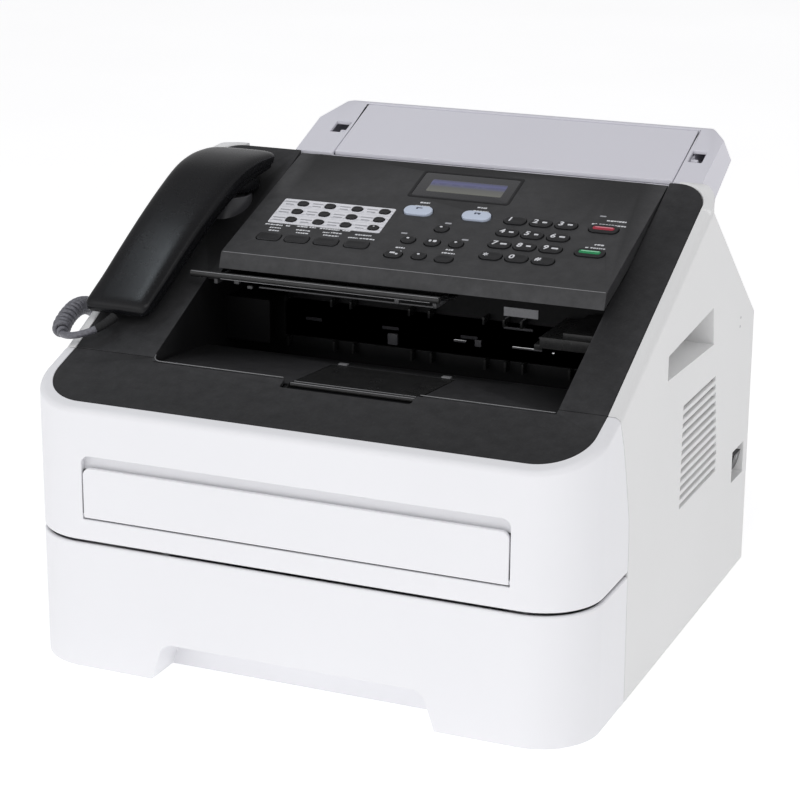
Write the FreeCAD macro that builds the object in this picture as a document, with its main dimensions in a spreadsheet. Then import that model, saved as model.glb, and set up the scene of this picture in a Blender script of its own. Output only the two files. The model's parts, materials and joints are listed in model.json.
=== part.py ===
import FreeCAD, Part
import math
import os
import Sketcher

# Desktop laser fax machine with handset.  Units: millimetres.
# Frame: +Z up, front faces -Y, +X to the right of someone facing the front.
# Origin: centre of the footprint, on the surface the machine stands on.

V = FreeCAD.Vector
os.makedirs("parts", exist_ok=True)
doc = FreeCAD.newDocument("fax_machine")
sheet = doc.addObject("Spreadsheet::Sheet", "Params")
rowno = [0]
serial = [0]


class Q:
    """A size: its number and the expression that yields it from the sheet."""

    def __init__(self, v, e):
        self.v = float(v)
        self.e = e

    def _op(self, other, sym, val, swap=False):
        o = q(other)
        a, b = (o, self) if swap else (self, o)
        return Q(val, "(%s %s %s)" % (a.e, sym, b.e))

    def __add__(self, o):
        return self._op(o, "+", self.v + q(o).v)

    def __radd__(self, o):
        return self._op(o, "+", self.v + q(o).v, True)

    def __sub__(self, o):
        return self._op(o, "-", self.v - q(o).v)

    def __rsub__(self, o):
        return self._op(o, "-", q(o).v - self.v, True)

    def __mul__(self, o):
        return self._op(o, "*", self.v * q(o).v)

    def __rmul__(self, o):
        return self._op(o, "*", self.v * q(o).v, True)

    def __truediv__(self, o):
        return self._op(o, "/", self.v / q(o).v)

    def __neg__(self):
        return Q(-self.v, "(0 - %s)" % self.e)


def q(x):
    if isinstance(x, Q):
        return x
    x = float(x)
    return Q(x, ("%.6f" % x) if x >= 0 else "(0 - %.6f)" % (-x))


def par(name, value, note):
    rowno[0] += 1
    r = rowno[0]
    sheet.set("A%d" % r, name)
    sheet.set("B%d" % r, str(value))
    sheet.set("C%d" % r, note)
    sheet.setAlias("B%d" % r, name)
    return Q(value, "Params." + name)


def nm(prefix):
    serial[0] += 1
    return "%s_%03d" % (prefix, serial[0])


def bind(obj, prop, val):
    val = q(val)
    setattr(obj, prop, val.v)
    if "Params." in val.e:
        obj.setExpression(prop, val.e)


def place(obj, x, y, z, rot=None):
    x, y, z = q(x), q(y), q(z)
    obj.Placement = FreeCAD.Placement(V(x.v, y.v, z.v), rot or FreeCAD.Rotation())
    for ax, val in (("x", x), ("y", y), ("z", z)):
        if "Params." in val.e:
            obj.setExpression("Placement.Base." + ax, val.e)


def box(x0, x1, y0, y1, z0, z1):
    o = doc.addObject("Part::Box", nm("Block"))
    for p, v in (("Length", q(x1) - x0), ("Width", q(y1) - y0), ("Height", q(z1) - z0)):
        bind(o, p, v)
    place(o, x0, y0, z0)
    return o


def cyl(axis, c1, c2, r, a, b):
    """Round bar along an axis from a to b; c1 and c2 are its centre on the other two axes."""
    o = doc.addObject("Part::Cylinder", nm("Round"))
    bind(o, "Radius", r)
    bind(o, "Height", q(b) - a)
    if axis == "x":
        place(o, a, c1, c2, FreeCAD.Rotation(V(0, 1, 0), 90))
    elif axis == "y":
        place(o, c1, a, c2, FreeCAD.Rotation(V(1, 0, 0), -90))
    else:
        place(o, c1, c2, a)
    return o


PLANES = {"YZ": "YZ_Plane", "XZ": "XZ_Plane", "XY": "XY_Plane"}


def poly(plane, pts, a, b):
    """Closed outline on a plane, padded between two coordinates along its normal."""
    body = doc.addObject("PartDesign::Body", nm("Body"))
    sk = body.newObject("Sketcher::SketchObject", nm("Sketch"))
    origin = [f for f in body.Origin.OriginFeatures if f.Role == PLANES[plane]][0]
    sk.AttachmentSupport = [(origin, "")]
    sk.MapMode = "FlatFace"
    a, b = q(a), q(b)
    off = -b if plane == "XZ" else a
    sk.AttachmentOffset = FreeCAD.Placement(V(0, 0, off.v), FreeCAD.Rotation())
    if "Params." in off.e:
        sk.setExpression("AttachmentOffset.Base.z", off.e)
    P = [(q(u), q(v)) for u, v in pts]
    n = len(P)
    geo = []
    for i in range(n):
        u0, v0 = P[i]
        u1, v1 = P[(i + 1) % n]
        geo.append(Part.LineSegment(V(u0.v, v0.v, 0), V(u1.v, v1.v, 0)))
    sk.addGeometry(geo, False)
    cons = [Sketcher.Constraint("Coincident", i, 2, (i + 1) % n, 1) for i in range(n)]
    sk.addConstraint(cons)
    for i, (u, v) in enumerate(P):
        c = sk.addConstraint(Sketcher.Constraint("DistanceX", -1, 1, i, 1, u.v))
        if "Params." in u.e:
            sk.setExpression("Constraints[%d]" % c, u.e)
        c = sk.addConstraint(Sketcher.Constraint("DistanceY", -1, 1, i, 1, v.v))
        if "Params." in v.e:
            sk.setExpression("Constraints[%d]" % c, v.e)
    pad = body.newObject("PartDesign::Pad", nm("Pad"))
    pad.Profile = sk
    bind(pad, "Length", b - a)
    sk.Visibility = False
    return body


def fuse(*objs):
    o = doc.addObject("Part::MultiFuse", nm("Union"))
    o.Shapes = list(objs)
    o.Refine = True
    return o


def cut(base, *tools):
    o = doc.addObject("Part::Cut", nm("Cut"))
    o.Base = base
    o.Tool = tools[0] if len(tools) == 1 else fuse(*tools)
    o.Refine = True
    return o


def common(a, b):
    o = doc.addObject("Part::Common", nm("Shared"))
    o.Base = a
    o.Tool = b
    o.Refine = True
    return o


def group(*objs):
    o = doc.addObject("Part::Compound", nm("Group"))
    o.Links = list(objs)
    return o


def rounded(obj, r, pick):
    doc.recompute()
    r = q(r)
    f = doc.addObject("Part::Fillet", nm("Rounded"))
    f.Base = obj
    found = [i + 1 for i, e in enumerate(obj.Shape.Edges) if pick(e)]
    assert found, "no edge to round on " + obj.Name
    f.Edges = [(i, r.v, r.v) for i in found]
    return f


def ends(e):
    return e.Vertexes[0].Point, e.Vertexes[-1].Point


def along(e, axis):
    if len(e.Vertexes) < 2:
        return False
    p, s = ends(e)
    d = s - p
    if d.Length < 1e-6:
        return False
    d.normalize()
    return abs(abs(d[axis]) - 1) < 1e-6


def near(e, **kw):
    c = e.CenterOfMass
    for k, v in kw.items():
        ax = "xyz".index(k[0])
        if k.endswith("gt"):
            if not c[ax] > v:
                return False
        elif k.endswith("lt"):
            if not c[ax] < v:
                return False
        elif abs(c[ax] - v) > 0.05:
            return False
    return True


nodes = []


def node(label, obj):
    obj.Label = label
    nodes.append((label, obj))
    return obj


# ---------------------------------------------------------------- sizes
W2 = par("half_width", 184, "half of the overall width")
D2 = par("half_depth", 180, "half of the overall depth")
HT = par("total_height", 311, "overall height, top of the document feeder")
FT = par("foot_height", 3, "rubber feet")
CB = par("cover_bottom", 1.5, "lower edge of covers and tray above the table")
TW = par("wall", 2.5, "wall of the moulded covers")
RIM = par("rim_width", 8, "white rim round the black deck")
CR = par("corner_radius", 39, "upright front corners")
TT = par("tray_top", 84, "top edge of the tray front")
FB = par("front_bottom", 85.5, "lower edge of the front cover")
SY = par("seam_depth", 121, "distance of the deck's front seam from centre")
SZ = par("seam_height", 190.5, "deck height at the seam")
SS = par("strip_slope", 0.343, "rise per mm of the front strip")
DS = par("deck_slope", 0.4832, "rise per mm of the side rails")
PKY = par("peak_y", 60, "where the side rim reaches its peak")
REY = par("rear_edge_y", 179.4, "rear shoulder")
REZ = par("rear_edge_z", 183.6, "height of the rear shoulder")
PS = par("panel_slope", 0.355, "rise per mm of the control panel")
PF = par("panel_front", 44, "distance of the panel's front edge from centre")
PZ = par("panel_front_height", 242, "top of the panel's front edge")
PL = par("panel_left", 112, "control panel, left side")
PRT = par("panel_right", 148, "control panel, right side")
RL = par("recess_left", 120, "paper output recess, left wall")
RR = par("recess_right", 146, "paper output recess, right wall")
GAP = par("seam_gap", 0.8, "gap at the moulding seams")
DX = par("door_half_width", 138.8, "manual feed door")
DZ0 = par("door_bottom", 100.7, "manual feed door, lower edge")
DZ1 = par("door_top", 133.3, "manual feed door, upper edge")
KT = par("key_travel_gap", 0.4, "clearance round each key")
BIN = par("bin_half_width", 116, "outside of the paper bin")
BINB = par("bin_rear", 150, "rear of the paper bin")


def strip_z(y):
    return SZ + (q(y) + SY) * SS


def deck_z(y):
    return SZ + (q(y) + SY) * DS


def panel_z(y):
    return PZ + (q(y) + PF) * PS


def rear_z(y):
    """Top of the rear slope behind the rim's peak."""
    pk = deck_z(PKY)
    return pk - (q(y) - PKY) * ((pk - REZ) / (REY - PKY))


pa = math.atan(PS.v)
pc, ps = math.cos(pa), math.sin(pa)
PROT = FreeCAD.Rotation(V(1, 0, 0), math.degrees(pa))


def on_panel(x, v, n):
    """Point at x, v up the slope from the panel's front edge, n above the panel."""
    return V(x, -PF.v + v * pc - n * ps, PZ.v + v * ps + n * pc)


def pblock(x0, x1, v0, v1, n0, n1, r=0.0):
    """Block lying on the sloping panel, its upright edges rounded by r."""
    o = doc.addObject("Part::Box", nm("Key"))
    o.Length, o.Width, o.Height = x1 - x0, v1 - v0, n1 - n0
    o.Placement = FreeCAD.Placement(on_panel(x0, v0, n0), PROT)
    if r <= 0:
        return o
    doc.recompute()
    f = doc.addObject("Part::Fillet", nm("Rounded"))
    f.Base = o
    up = V(0, -ps, pc)
    idx = []
    for i, e in enumerate(o.Shape.Edges):
        p, s = ends(e)
        d = (s - p).normalize()
        if abs(abs(d.dot(up)) - 1) < 1e-6:
            idx.append(i + 1)
    f.Edges = [(i, r, r) for i in idx]
    return f


# ------------------------------------------------- side outline of the front seam
SEAM = [(-94.4, 1.5), (-95.3, 40), (-96.4, 84), (-96.6, 107), (-98.0, 120.6),
        (-101.6, 134.2), (-107.8, 154.7), (-113.4, 171.7), (-118.4, 182.0)]


def side_outline(drop, front, rear, bottom):
    """Side view of the side cover: drop lowers the top, front and rear pull the edges in."""
    pts = [(q(y) + front, q(z) if i else q(z) - bottom) for i, (y, z) in enumerate(SEAM)]
    pts.append((-SY - 0.4 + front, deck_z(-SY - 0.4 + front) - drop))
    pts.append((PKY - drop * 0.2, deck_z(PKY) - drop * 1.25))
    pts.append((REY - rear - drop * 0.5, REZ - drop))
    pts.append((D2 - rear, q(162)))
    pts.append((D2 - rear, CB - bottom))
    return pts


def side_cover(sign):
    a, b = (W2 - RIM, W2) if sign > 0 else (-W2, RIM - W2)
    outer = poly("YZ", side_outline(0, 0, 0, 0), a, b)
    outer = rounded(outer, 5, lambda e: near(e, x=sign * 184.0) and abs(ends(e)[0].x - ends(e)[1].x) < 1e-6
                    and (e.CenterOfMass.z > 188 and e.CenterOfMass.y > -119 or e.CenterOfMass.y > 177.4))
    ia, ib = (W2 - RIM - 1, W2 - TW) if sign > 0 else (TW - W2, RIM + 1 - W2)
    inner = poly("YZ", side_outline(3, -5, 2.5, 5), ia, ib)
    shell = cut(outer, inner)
    # carrying recess: a pocket with its own walls
    hp = [(-28.5, 187.0), (-28.5, 202.5), (70, 209.5), (74, 184.0)]
    ho = [(-31.0, 184.6), (-31.0, 204.9), (72.4, 212.2), (77.0, 181.4)]
    oa, ob = (q(160), W2 - 1) if sign > 0 else (1 - W2, q(-160))
    ca, cb = (q(162), W2 + 1) if sign > 0 else (-W2 - 1, q(-162))
    shell = cut(fuse(shell, poly("YZ", ho, oa, ob)), poly("YZ", hp, ca, cb))
    # louvres
    slots = []
    for i in range(12):
        z = 158.9 - i * 5.95
        y1 = 83 + i * 1.15
        y1 = y1 if i < 10 else 93
        slots.append(box(*( (180.5, 185) if sign > 0 else (-185, -180.5)), 9, y1, z - 1.5, z + 1.5))
    return shell, slots


right_raw, right_slots = side_cover(1)
tub = cut(box(174.5, W2 - 1, 134, 167, 67.5, 93.5), box(177, W2 + 1, 136, 165, 69.5, 91.5),
          box(174, 178, 141.6, 159.4, 72.6, 88.4), cyl("y", 175.9, 80.5, 0.96, 139.8, 161.2))
hole = box(180, 185, 136, 165, 69.5, 91.5)
right = fuse(cut(right_raw, *(right_slots + [hole])), tub)
node("right_side_cover", right)

left_raw, left_slots = side_cover(-1)
jack_hole = box(-185, -180, 84.6, 99.4, 150.6, 163.4)
left = cut(left_raw, *([s for i, s in enumerate(left_slots) if i > 2] + [jack_hole]))
node("left_side_cover", left)

# socket that the handset's curly cord plugs into
jack = cut(box(-183.6, -170, 85, 99, 151, 163), box(-184.6, -174, 87.7, 95.8, 153.1, 160.9))
node("handset_jack", jack)

# ------------------------------------------------------------------ rear
rc_out = poly("YZ", [(66, rear_z(66)), (REY, REZ), (D2, 162), (D2, CB + 1.5), (D2 - TW, CB + 1.5),
                     (D2 - TW, 161.6), (REY - 2.2, REZ - 1.6), (66, rear_z(66) - 3.2)], RIM - W2 + 0.3, W2 - RIM - 0.3)
mid = rounded(box(-176.2, 176.2, 50, 78.6, 240, 299), 20.2, lambda e: along(e, 2) and near(e, y=78.6))
door_hole = box(-118, 118, 176, 182, 40, 150)
vents = [box(-60 + 12 * i, -54 + 12 * i, 176, 182, 12, 30) for i in range(10)]
node("rear_cover", cut(rc_out, mid, door_hole, cyl("x", 178.5, 44, 1.2, -122.6, 122.6), box(-163, -139, 170, 182, 14.5, 31.5), *vents))

rd = fuse(box(-117.2, 117.2, D2 - TW, D2, 44, 149.2), cyl("x", 178.5, 44, 1.5, -117.2, 117.2),
          cyl("x", 178.5, 44, 1.1, -121.6, 121.6), box(-100, -97, 170, 178, 60, 140), box(97, 100, 170, 178, 60, 140),
          box(-40, 40, 176.2, 178, 60, 62.5))
node("rear_door", rd)
lugs = [cut(box(s * 118.6 if s > 0 else -122.6, 122.6 if s > 0 else -118.6, 174.4, 177.3, 41, 47), cyl("x", 178.5, 44, 1.2, -130, 130)) for s in (1, -1)]

# ------------------------------------------------------------------ chassis
def plate(sign):
    a, b = (121, 124) if sign > 0 else (-124, -121)
    return poly("YZ", [(-84, 6), (168, 6), (168, 150), (120, 150), (60, 140), (-20, 150), (-70, 168), (-150, 160),
                       (-150, 88), (-130, 88), (-130, 66), (-110, 66), (-110, 88), (-84, 88)], a, b)


rails = [box(121, 178, -84, 172, FT, 6), box(-178, -121, -84, 172, FT, 6)]
cross = box(-124, 124, -30, 60, 66, 69)
rear_bar = cut(box(-178, 178, 168, 172, FT, 150), box(-112, 112, 160, 175, 62, 146), box(-117.4, 117.4, 160, 175, 2, 62), box(-168, -134, 160, 175, 10.5, 35.5))
front_bar = box(-124, 124, -120, -104, 158, 160.5)
arms = [poly("YZ", [(-173, 97.4), (-172, 93.2), (-148, 93.2), (-148, 125)], a, a + 3) for a in (-124, 121)]
arms += [cyl("x", -173, 94, 3.4, a, a + 3) for a in (-124, 121)]
frame = fuse(plate(1), plate(-1), cross, rear_bar, front_bar, *(rails + arms))
bores = [cyl("x", -173, 94, 1.56, -130, 130), cyl("x", -120, 76, 3.06, -130, 130), cyl("x", -60, 110, 4.05, -130, 130)]
frame = cut(frame, *bores)
node("chassis_frame", frame)

feet = [cut(cyl("z", sx * 160, y, 9, 0, FT), cyl("z", sx * 160, y, 3, -1, 1)) for sx in (1, -1) for y in (-74, 160)]
node("rubber_feet", group(*feet))

# ------------------------------------------------------------------ top deck
slab = poly("YZ", [(-SY, deck_z(-SY)), (78, deck_z(78)), (78, deck_z(78) - 2.7), (-SY, deck_z(-SY) - 2.7)],
            RIM - W2 + 0.4, W2 - RIM - 0.4)
skirt_o = rounded(box(RIM - W2 + 0.4, W2 - RIM - 0.4, 30, 78, 262.6, 292), 20, lambda e: along(e, 2) and near(e, y=78))
skirt_i = rounded(box(RIM - W2 + 0.4 + TW, W2 - RIM - 0.4 - TW, 20, 75.5, 262, 293), 17.5, lambda e: along(e, 2) and near(e, y=75.5))
under = poly("YZ", [(64, 262.6), (78, 262.6), (78, deck_z(78) - 1), (20, deck_z(20) - 1), (20, deck_z(20) - 2), (64, 268)], -180, 180)
skirt = common(cut(skirt_o, skirt_i), under)
corner_cut = cut(box(-180, 180, 57, 80, 255, 295), rounded(box(RIM - W2 + 0.4, W2 - RIM - 0.4, 20, 78, 250, 299), 20,
                                                        lambda e: along(e, 2) and near(e, y=78)))
slab = cut(slab, corner_cut, box(-RL, RR, -130, -47, 140, 299), box(-PL - GAP, RR, -48, 72, 140, 299))
F0, F1, F2 = (-125.4, 186.3), (-50, 180.6), (25, 150)
floor_p = poly("YZ", [F0, F1, F2, (25, 147.4), (-50, 178), (-125.4, 184)], -RL - TW, RR + TW)
floor_p = cut(floor_p, box(-130, 0.4 - RL, -130, -SY, 180, 190), box(RR - 0.4, 160, -130, -SY, 180, 190))


def basin_wall(a, b):
    return poly("YZ", [(-SY, deck_z(-SY) - 1), (27.5, deck_z(27.5) - 1), (27.5, 147.4), (25, 147.4), (-50, 178), (-SY, 183.6)], a, b)


back = cut(box(-RL - TW, RR + TW, 25, 27.5, 147.4, 236), box(-100, 126, 20, 30, 171, 197))
tub_o = poly("YZ", [(-139, 181.6), (-139, 177.8), (-60, 175), (-60, 179.4), (-124, 184.4), (-124, 185), (-137, 181.6)], -28, 61)
brackets = [cut(box(x, x + 3, 27, 42, 172, 196), cyl("x", 34, 183, 3.06, -200, 200)) for x in (-108, 130)]
cradle = cyl("z", -139.5, 20, 16, 246, 265)
guides = [box(x, x + 2.5, -20, 24, 148, 178) for x in (-70, 96)]
guides = [common(g, poly("YZ", [(-20, 168), (24, 150), (24, 168), (-20, 174)], -130, 150)) for g in guides]
deck = fuse(slab, skirt, floor_p, basin_wall(-RL - TW, -RL), basin_wall(RR, RR + TW), back, tub_o, cradle, *brackets)
flap_cut = poly("YZ", [(-137, 180.6), (-124.6, 183.7), (-62.2, 178.7), (-62.2, 183), (-124.6, 192), (-137, 192)], -25.4, 58.4)
panel_clear = poly("YZ", [(-49.5, 229.2), (79, 271.9), (79, 300), (-49.5, 300)], -PL - GAP, PRT + GAP)
hook_bore = cyl("z", -139.5, 20, 4.05, 240, 270)
cradle_dish = doc.addObject("Part::Cone", nm("Dish"))
cradle_dish.Radius1, cradle_dish.Radius2, cradle_dish.Height = 11, 13.5, 3
cradle_dish.Placement = FreeCAD.Placement(V(-139.5, 20, 262.5), FreeCAD.Rotation())
handset_clear = poly("YZ", [(-12, 258.6), (1.6, 265.3), (1.6, 270), (-12, 270)], -170, -110)
node("top_deck", cut(deck, flap_cut, panel_clear, hook_bore, cradle_dish, handset_clear))

node("hook_switch", fuse(cyl("z", -139.5, 20, 4, 240, 265.6), cyl("z", -139.5, 20, 6.5, 238, 240)))

# stop that catches printed sheets: lies in the recess floor, hinged at its rear
fl = poly("YZ", [(-124, 186.5), (-64, 181.7), (-64, 179.2), (-118, 183.5), (-121, 183.7), (-124, 183.9)], -24.6, 57.6)
fl = fuse(fl, cyl("x", -64, 180.45, 1.25, -24.6, 57.6), cyl("x", -124, 185.2, 1.3, -24.6, 57.6))
node("output_flap", fl)

# ------------------------------------------------------------------ front cover
def u_block(off, z0, z1, yback):
    off = q(off)
    b = box(off - W2, W2 - off, off - D2, yback, z0, z1)
    return rounded(b, CR - off, lambda e: along(e, 2) and near(e, ylt=-150))


fc_pts = [(-D2 - 1, FB)] + [(q(y) - GAP, q(z)) for y, z in SEAM if z > 90]
fc_pts.insert(1, (-97.3, FB))
fc_pts.append((-SY - 1.2, strip_z(-SY - 1.2)))
fc_pts.append((-D2 - 1, strip_z(-D2 - 1)))
fc = common(u_block(0, 60, 230, -60), poly("YZ", fc_pts, -W2 - 1, W2 + 1))
fc = rounded(fc, 3, lambda e: near(e, z=85.5) and e.CenterOfMass.y < -140 and e.Length > 20)
fc = rounded(fc, 4.5, lambda e: e.CenterOfMass.z > 168 and not along(e, 0) and e.Length > 12 and abs(e.CenterOfMass.x) > 160
             or (e.CenterOfMass.z > 168 and along(e, 0) and near(e, y=-180)))
in_pts = [(-D2 - 1, 60), (-90, 60), (-90, strip_z(-90) - 3), (-D2 - 1, strip_z(-D2 - 1) - 3)]
inner = common(u_block(TW, 60, 240, -50), poly("YZ", in_pts, -W2 - 1, W2 + 1))
rim_open = u_block(RIM, 150, 240, -50)
fc = cut(fc, inner, rim_open)
# opening behind the manual feed door, and the finger scoop above it
op = rounded(box(-139.6, 139.6, -185, -170, 99.9, 141), 5.5, lambda e: along(e, 1) and near(e, zgt=130))
ledge = box(-143, 143, -175.2, -172.8, 131, 146)
web = fuse(box(-143, 143, -177.6, -172.8, 142, 146), box(-143, -139.6, -177.6, -172.8, 131, 146), box(139.6, 143, -177.6, -172.8, 131, 146))
hblocks = [box(139.6, 143.5, -178.5, -173.5, 98, 106), box(-143.5, -139.6, -178.5, -173.5, 98, 106)]
fc = cut(fc, op)
fc = fuse(fc, ledge, web, *hblocks)
# pivots of the cover, turning in the frame's front arms
for a, b, c, d in ((125, 128, 119.5, 128), (-128, -125, -128, -119.5)):
    fc = fuse(fc, box(a, b, -178, -171, 91, 97), cyl("x", -173, 94, 1.5, c, d))
fc = cut(fc, cyl("x", -177.6, 102.5, 1.36, -145, 145))
node("front_cover", fc)

md = fuse(box(-DX, DX, -D2, 3 - D2, 102.2, DZ1), cyl("x", -178.5, 102.2, 1.5, -DX, DX))
md = rounded(md, 5, lambda e: along(e, 1) and near(e, zgt=130))
node("manual_feed_door", fuse(md, cyl("x", -177.6, 102.5, 1.3, -142.5, 142.5)))

# black strip along the top of the front cover
ti = RIM + 0.15
tp = poly("YZ", [(-D2, strip_z(-D2)), (-SY - GAP, strip_z(-SY - GAP)), (-SY - GAP, strip_z(-SY - GAP) - TW), (-D2, strip_z(-D2) - TW)], -W2, W2)
trim = common(u_block(ti, 140, 230, -60), tp)
trim = cut(trim, box(-RL, RR, -126, -100, 150, 210), rounded(box(-27.5, 58.5, -134, -120, 150, 210), 2, lambda e: along(e, 2) and near(e, y=-134)))
trim = rounded(trim, 3.9, lambda e: e.Length < 4 and near(e, y=-126) and abs(e.CenterOfMass.x + 120) < 1)
node("front_cover_trim", trim)

# ------------------------------------------------------------------ paper tray
t_pts = [(-D2 - 1, CB), (-95.2, CB), (-96.1, 40), (-97.2, TT), (-D2 - 1, TT)]
t_out = common(u_block(0, -10, 120, -60), poly("YZ", t_pts, -W2 - 1, W2 + 1))
t_in = u_block(3, -20, 130, -50)
shell = cut(t_out, t_in)
plate_f = common(u_block(1, 5, 8, -100), box(-190, 190, -190, -100, 0, 20))
front_wall = box(-BIN - 2, BIN + 2, -168, -165.5, 7, 74)
bin_o = box(-BIN, BIN, -167, BINB, 5, 58)
bin_i = box(TW - BIN, BIN - TW, -165.5, BINB - TW, 7.5, 60)
notch = rounded(poly("XZ", [(-94.8, -1), (94.8, -1), (86, 26), (-86, 26)], -190, -153), 9, lambda e: along(e, 1) and near(e, zgt=20))
notch_o = rounded(poly("XZ", [(-97.6, 1.5), (97.6, 1.5), (88.4, 28.5), (-88.4, 28.5)], -178, -150.5), 11, lambda e: along(e, 1) and near(e, zgt=20))
tray = fuse(shell, plate_f, cut(bin_o, bin_i), front_wall)
tray = cut(fuse(tray, notch_o), notch)
tray = rounded(tray, 1.2, lambda e: near(e, z=84.0) and e.Length > 30 and e.CenterOfMass.y < -179.5)
node("paper_tray", tray)

lp = fuse(box(-70, 70, -144, 119.5, 8.6, 10.6), cyl("x", 120, 9.7, 2, -70, 70), box(-30, 30, -146, -140, 10.2, 13))
node("tray_lift_plate", cut(lp, box(-6, 6, -60, 90, 5, 14)))
for s, label in ((-1, "paper_guide_left"), (1, "paper_guide_right")):
    xa, xb = (105, 107.5) if s > 0 else (-107.5, -105)
    g = fuse(box(xa, xb, -40, 60, 8.2, 52), box(*((105, 112) if s > 0 else (-112, -105)), 0, 20, 8.2, 11),
             box(*((105, 110) if s > 0 else (-110, -105)), 6, 8.5, 10, 44))
    node(label, g)

# ------------------------------------------------------------------ print engine
def shaft(y, z, r, a, b, wheels):
    return fuse(cyl("x", y, z, r, a, b), *[cyl("x", y, z, wr, wa, wb) for wr, wa, wb in wheels])


node("pickup_roller", shaft(-120, 76, 3, -126, 126, [(12, -16, 16)]))
node("exit_roller", shaft(34, 183, 3, -112, 138, [(6.6, -86, -74), (6.6, -30, -18), (6.6, 26, 38), (6.6, 84, 96), (6.0, -119, -112)]))
drum = fuse(rounded(box(-112, 112, -148, -76, 96, 146), 6, lambda e: along(e, 0)), box(-30, 30, -160, -146, 118, 124),
            cyl("x", -84, 98, 11, -108, 108))
node("toner_drum_unit", drum)
node("laser_unit", rounded(box(-110, 110, -100, -30, 157, 166.5), 2, lambda e: along(e, 2)))
fus = cut(rounded(box(-118, 118, 82, 128, 84, 132), 5, lambda e: along(e, 0)), box(-108, 108, 75, 135, 106, 110))
node("fuser_unit", fus)
node("drive_gear", cut(cyl("x", -60, 110, 24, 126, 136), cyl("x", -60, 110, 4.05, 120, 140), *[
    box(126 - 1, 137, -62 + 0, -58, 110 + 22.4, 136)]))
node("gear_post", fuse(cyl("x", -60, 110, 4, 112.6, 140), cyl("x", -60, 110, 6.5, 136.4, 138.4)))

# ------------------------------------------------------------------ control panel
def pz_line(y, drop):
    return panel_z(y) - drop


pc_out = poly("YZ", [(-PF, PZ), (77, panel_z(77)), (77, 273.8), (-PF - 4, 231.8)], -PL, PRT)
pc_out = rounded(pc_out, 1.2, lambda e: (near(e, y=-44) and along(e, 0)))
pc_in = poly("YZ", [(-PF + 2.2, pz_line(-PF + 2.2, 2.7)), (74.5, pz_line(74.5, 2.7)), (74.5, 260), (-PF - 1.8, 220)], -PL + TW, PRT - TW)
key_nodes = []
holes = []
digit = {"1": (64.7, 69), "2": (81.9, 69.2), "3": (98.9, 69.4), "4": (64.6, 54.4), "5": (81.3, 54.4), "6": (98.5, 54.6),
         "7": (64.5, 40.2), "8": (81.1, 40.4), "9": (98.3, 40.8), "star": (63.6, 26.4), "0": (80.7, 26.6), "hash": (98, 26.9)}
KEYS = []
for k, (x, v) in digit.items():
    KEYS.append(("key_" + k, [(x, v)], 14.8, 8.6, 4.2, 1.0))
KEYS += [("key_stop", [(123.7, 69.3)], 19.5, 9.0, 4.3, 1.0), ("key_start", [(123.8, 41)], 19.5, 9.0, 4.3, 1.0),
         ("key_mode_fax", [(-2.1, 69.2)], 19.5, 10.0, 4.6, 1.6), ("key_mode_copy", [(38.1, 69.6)], 19.5, 10.0, 4.6, 1.6),
         ("key_ok", [(21, 34.8)], 10.5, 8.6, 4.2, 1.0), ("key_clear", [(1.3, 17)], 12, 8, 3.9, 1.0),
         ("key_menu", [(35.5, 17.6)], 12, 8, 3.9, 1.0),
         ("navigation_keys", [(21, 51.5), (4.5, 35), (37.0, 35.6), (18.4, 18)], 9.5, 8, 3.9, 1.0),
         ("function_keys", [(-88.2, 22.4), (-68.4, 22.8), (-47.9, 23.2), (-26.8, 23.8)], 16.5, 8.5, 3, 0.6),
         ("one_touch_keys", [(-82.4 + 19.5 * i, v) for v in (64.8, 54.8, 44.8) for i in range(4)], 7.2, 5.2, 2.55, 0.9)]
for label, spots, w, h, r, up in KEYS:
    pieces = []
    for x, v in spots:
        pieces.append(pblock(x - w / 2, x + w / 2, v - h / 2, v + h / 2, -5, up, r))
        g = KT.v
        holes.append(pblock(x - w / 2 - g, x + w / 2 + g, v - h / 2 - g, v + h / 2 + g, -6, 3, r + g))
    key_nodes.append((label, pieces[0] if len(pieces) == 1 else group(*pieces)))
panel = cut(pc_out, pc_in, pblock(-97.4, -17.4, 39.2, 69.8, -0.4, 3, 1.5), pblock(-15.5, 52, 88.2, 118.4, -1.0, 3, 2), *holes)
panel = fuse(panel, *[cyl("x", 76.6, 283.6, 1.2, a, a + 20) for a in (-96, 8, 112)])
node("panel_cover", panel)
for label, o in key_nodes:
    node(label, o)
label_holes = [pblock(x - 4.1, x + 4.1, v - 3.1, v + 3.1, -1, 2, 2.9) for x, v in KEYS[-1][1]]
node("one_touch_label", cut(pblock(-97.2, -17.6, 39.4, 69.6, -0.4, -0.05, 1.3), *label_holes))
node("display_window", pblock(-15.3, 51.8, 88.4, 118.2, -1.0, -0.05, 1.8))
node("circuit_board", cut(pblock(-106, 142, 6, 118, -8.1, -6.5), pblock(-20, 56, 84, 122, -9, 0)))
uf = poly("YZ", [(-38, pz_line(-38, 10.2)), (70, pz_line(70, 10.2)), (70, pz_line(70, 18)), (-18, pz_line(-18, 24)), (-38, pz_line(-38, 13))], -106, 142)
ufh = poly("YZ", [(-8, pz_line(-8, 5)), (60, pz_line(60, 5)), (60, pz_line(60, 15.2)), (-8, pz_line(-8, 20))], -98, 134)
ribs = [box(x, x + 3, -6, 30, 225, 245) for x in (-80, -40, 60, 108)]
node("panel_underframe", cut(uf, ufh))

# support for originals leaving the machine, below the panel's front edge
ds = poly("YZ", [(-59, 231.2), (-59, 228.9), (-24, 222.4), (-24, 224.8)], -110.5, 44)
arms = [poly("YZ", [(-40, 226.4), (-24, 222.4), (-14, 222.4), (-14, pz_line(-14, 24.3)), (-18, pz_line(-18, 24.2)), (-24, pz_line(-24, 22.0)), (-40, 227.4)], a, a + 3) for a in (-104, 38)]
node("document_output_support", fuse(ds, cyl("x", -59, 229.8, 2.2, -126, 46), *arms))

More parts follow.
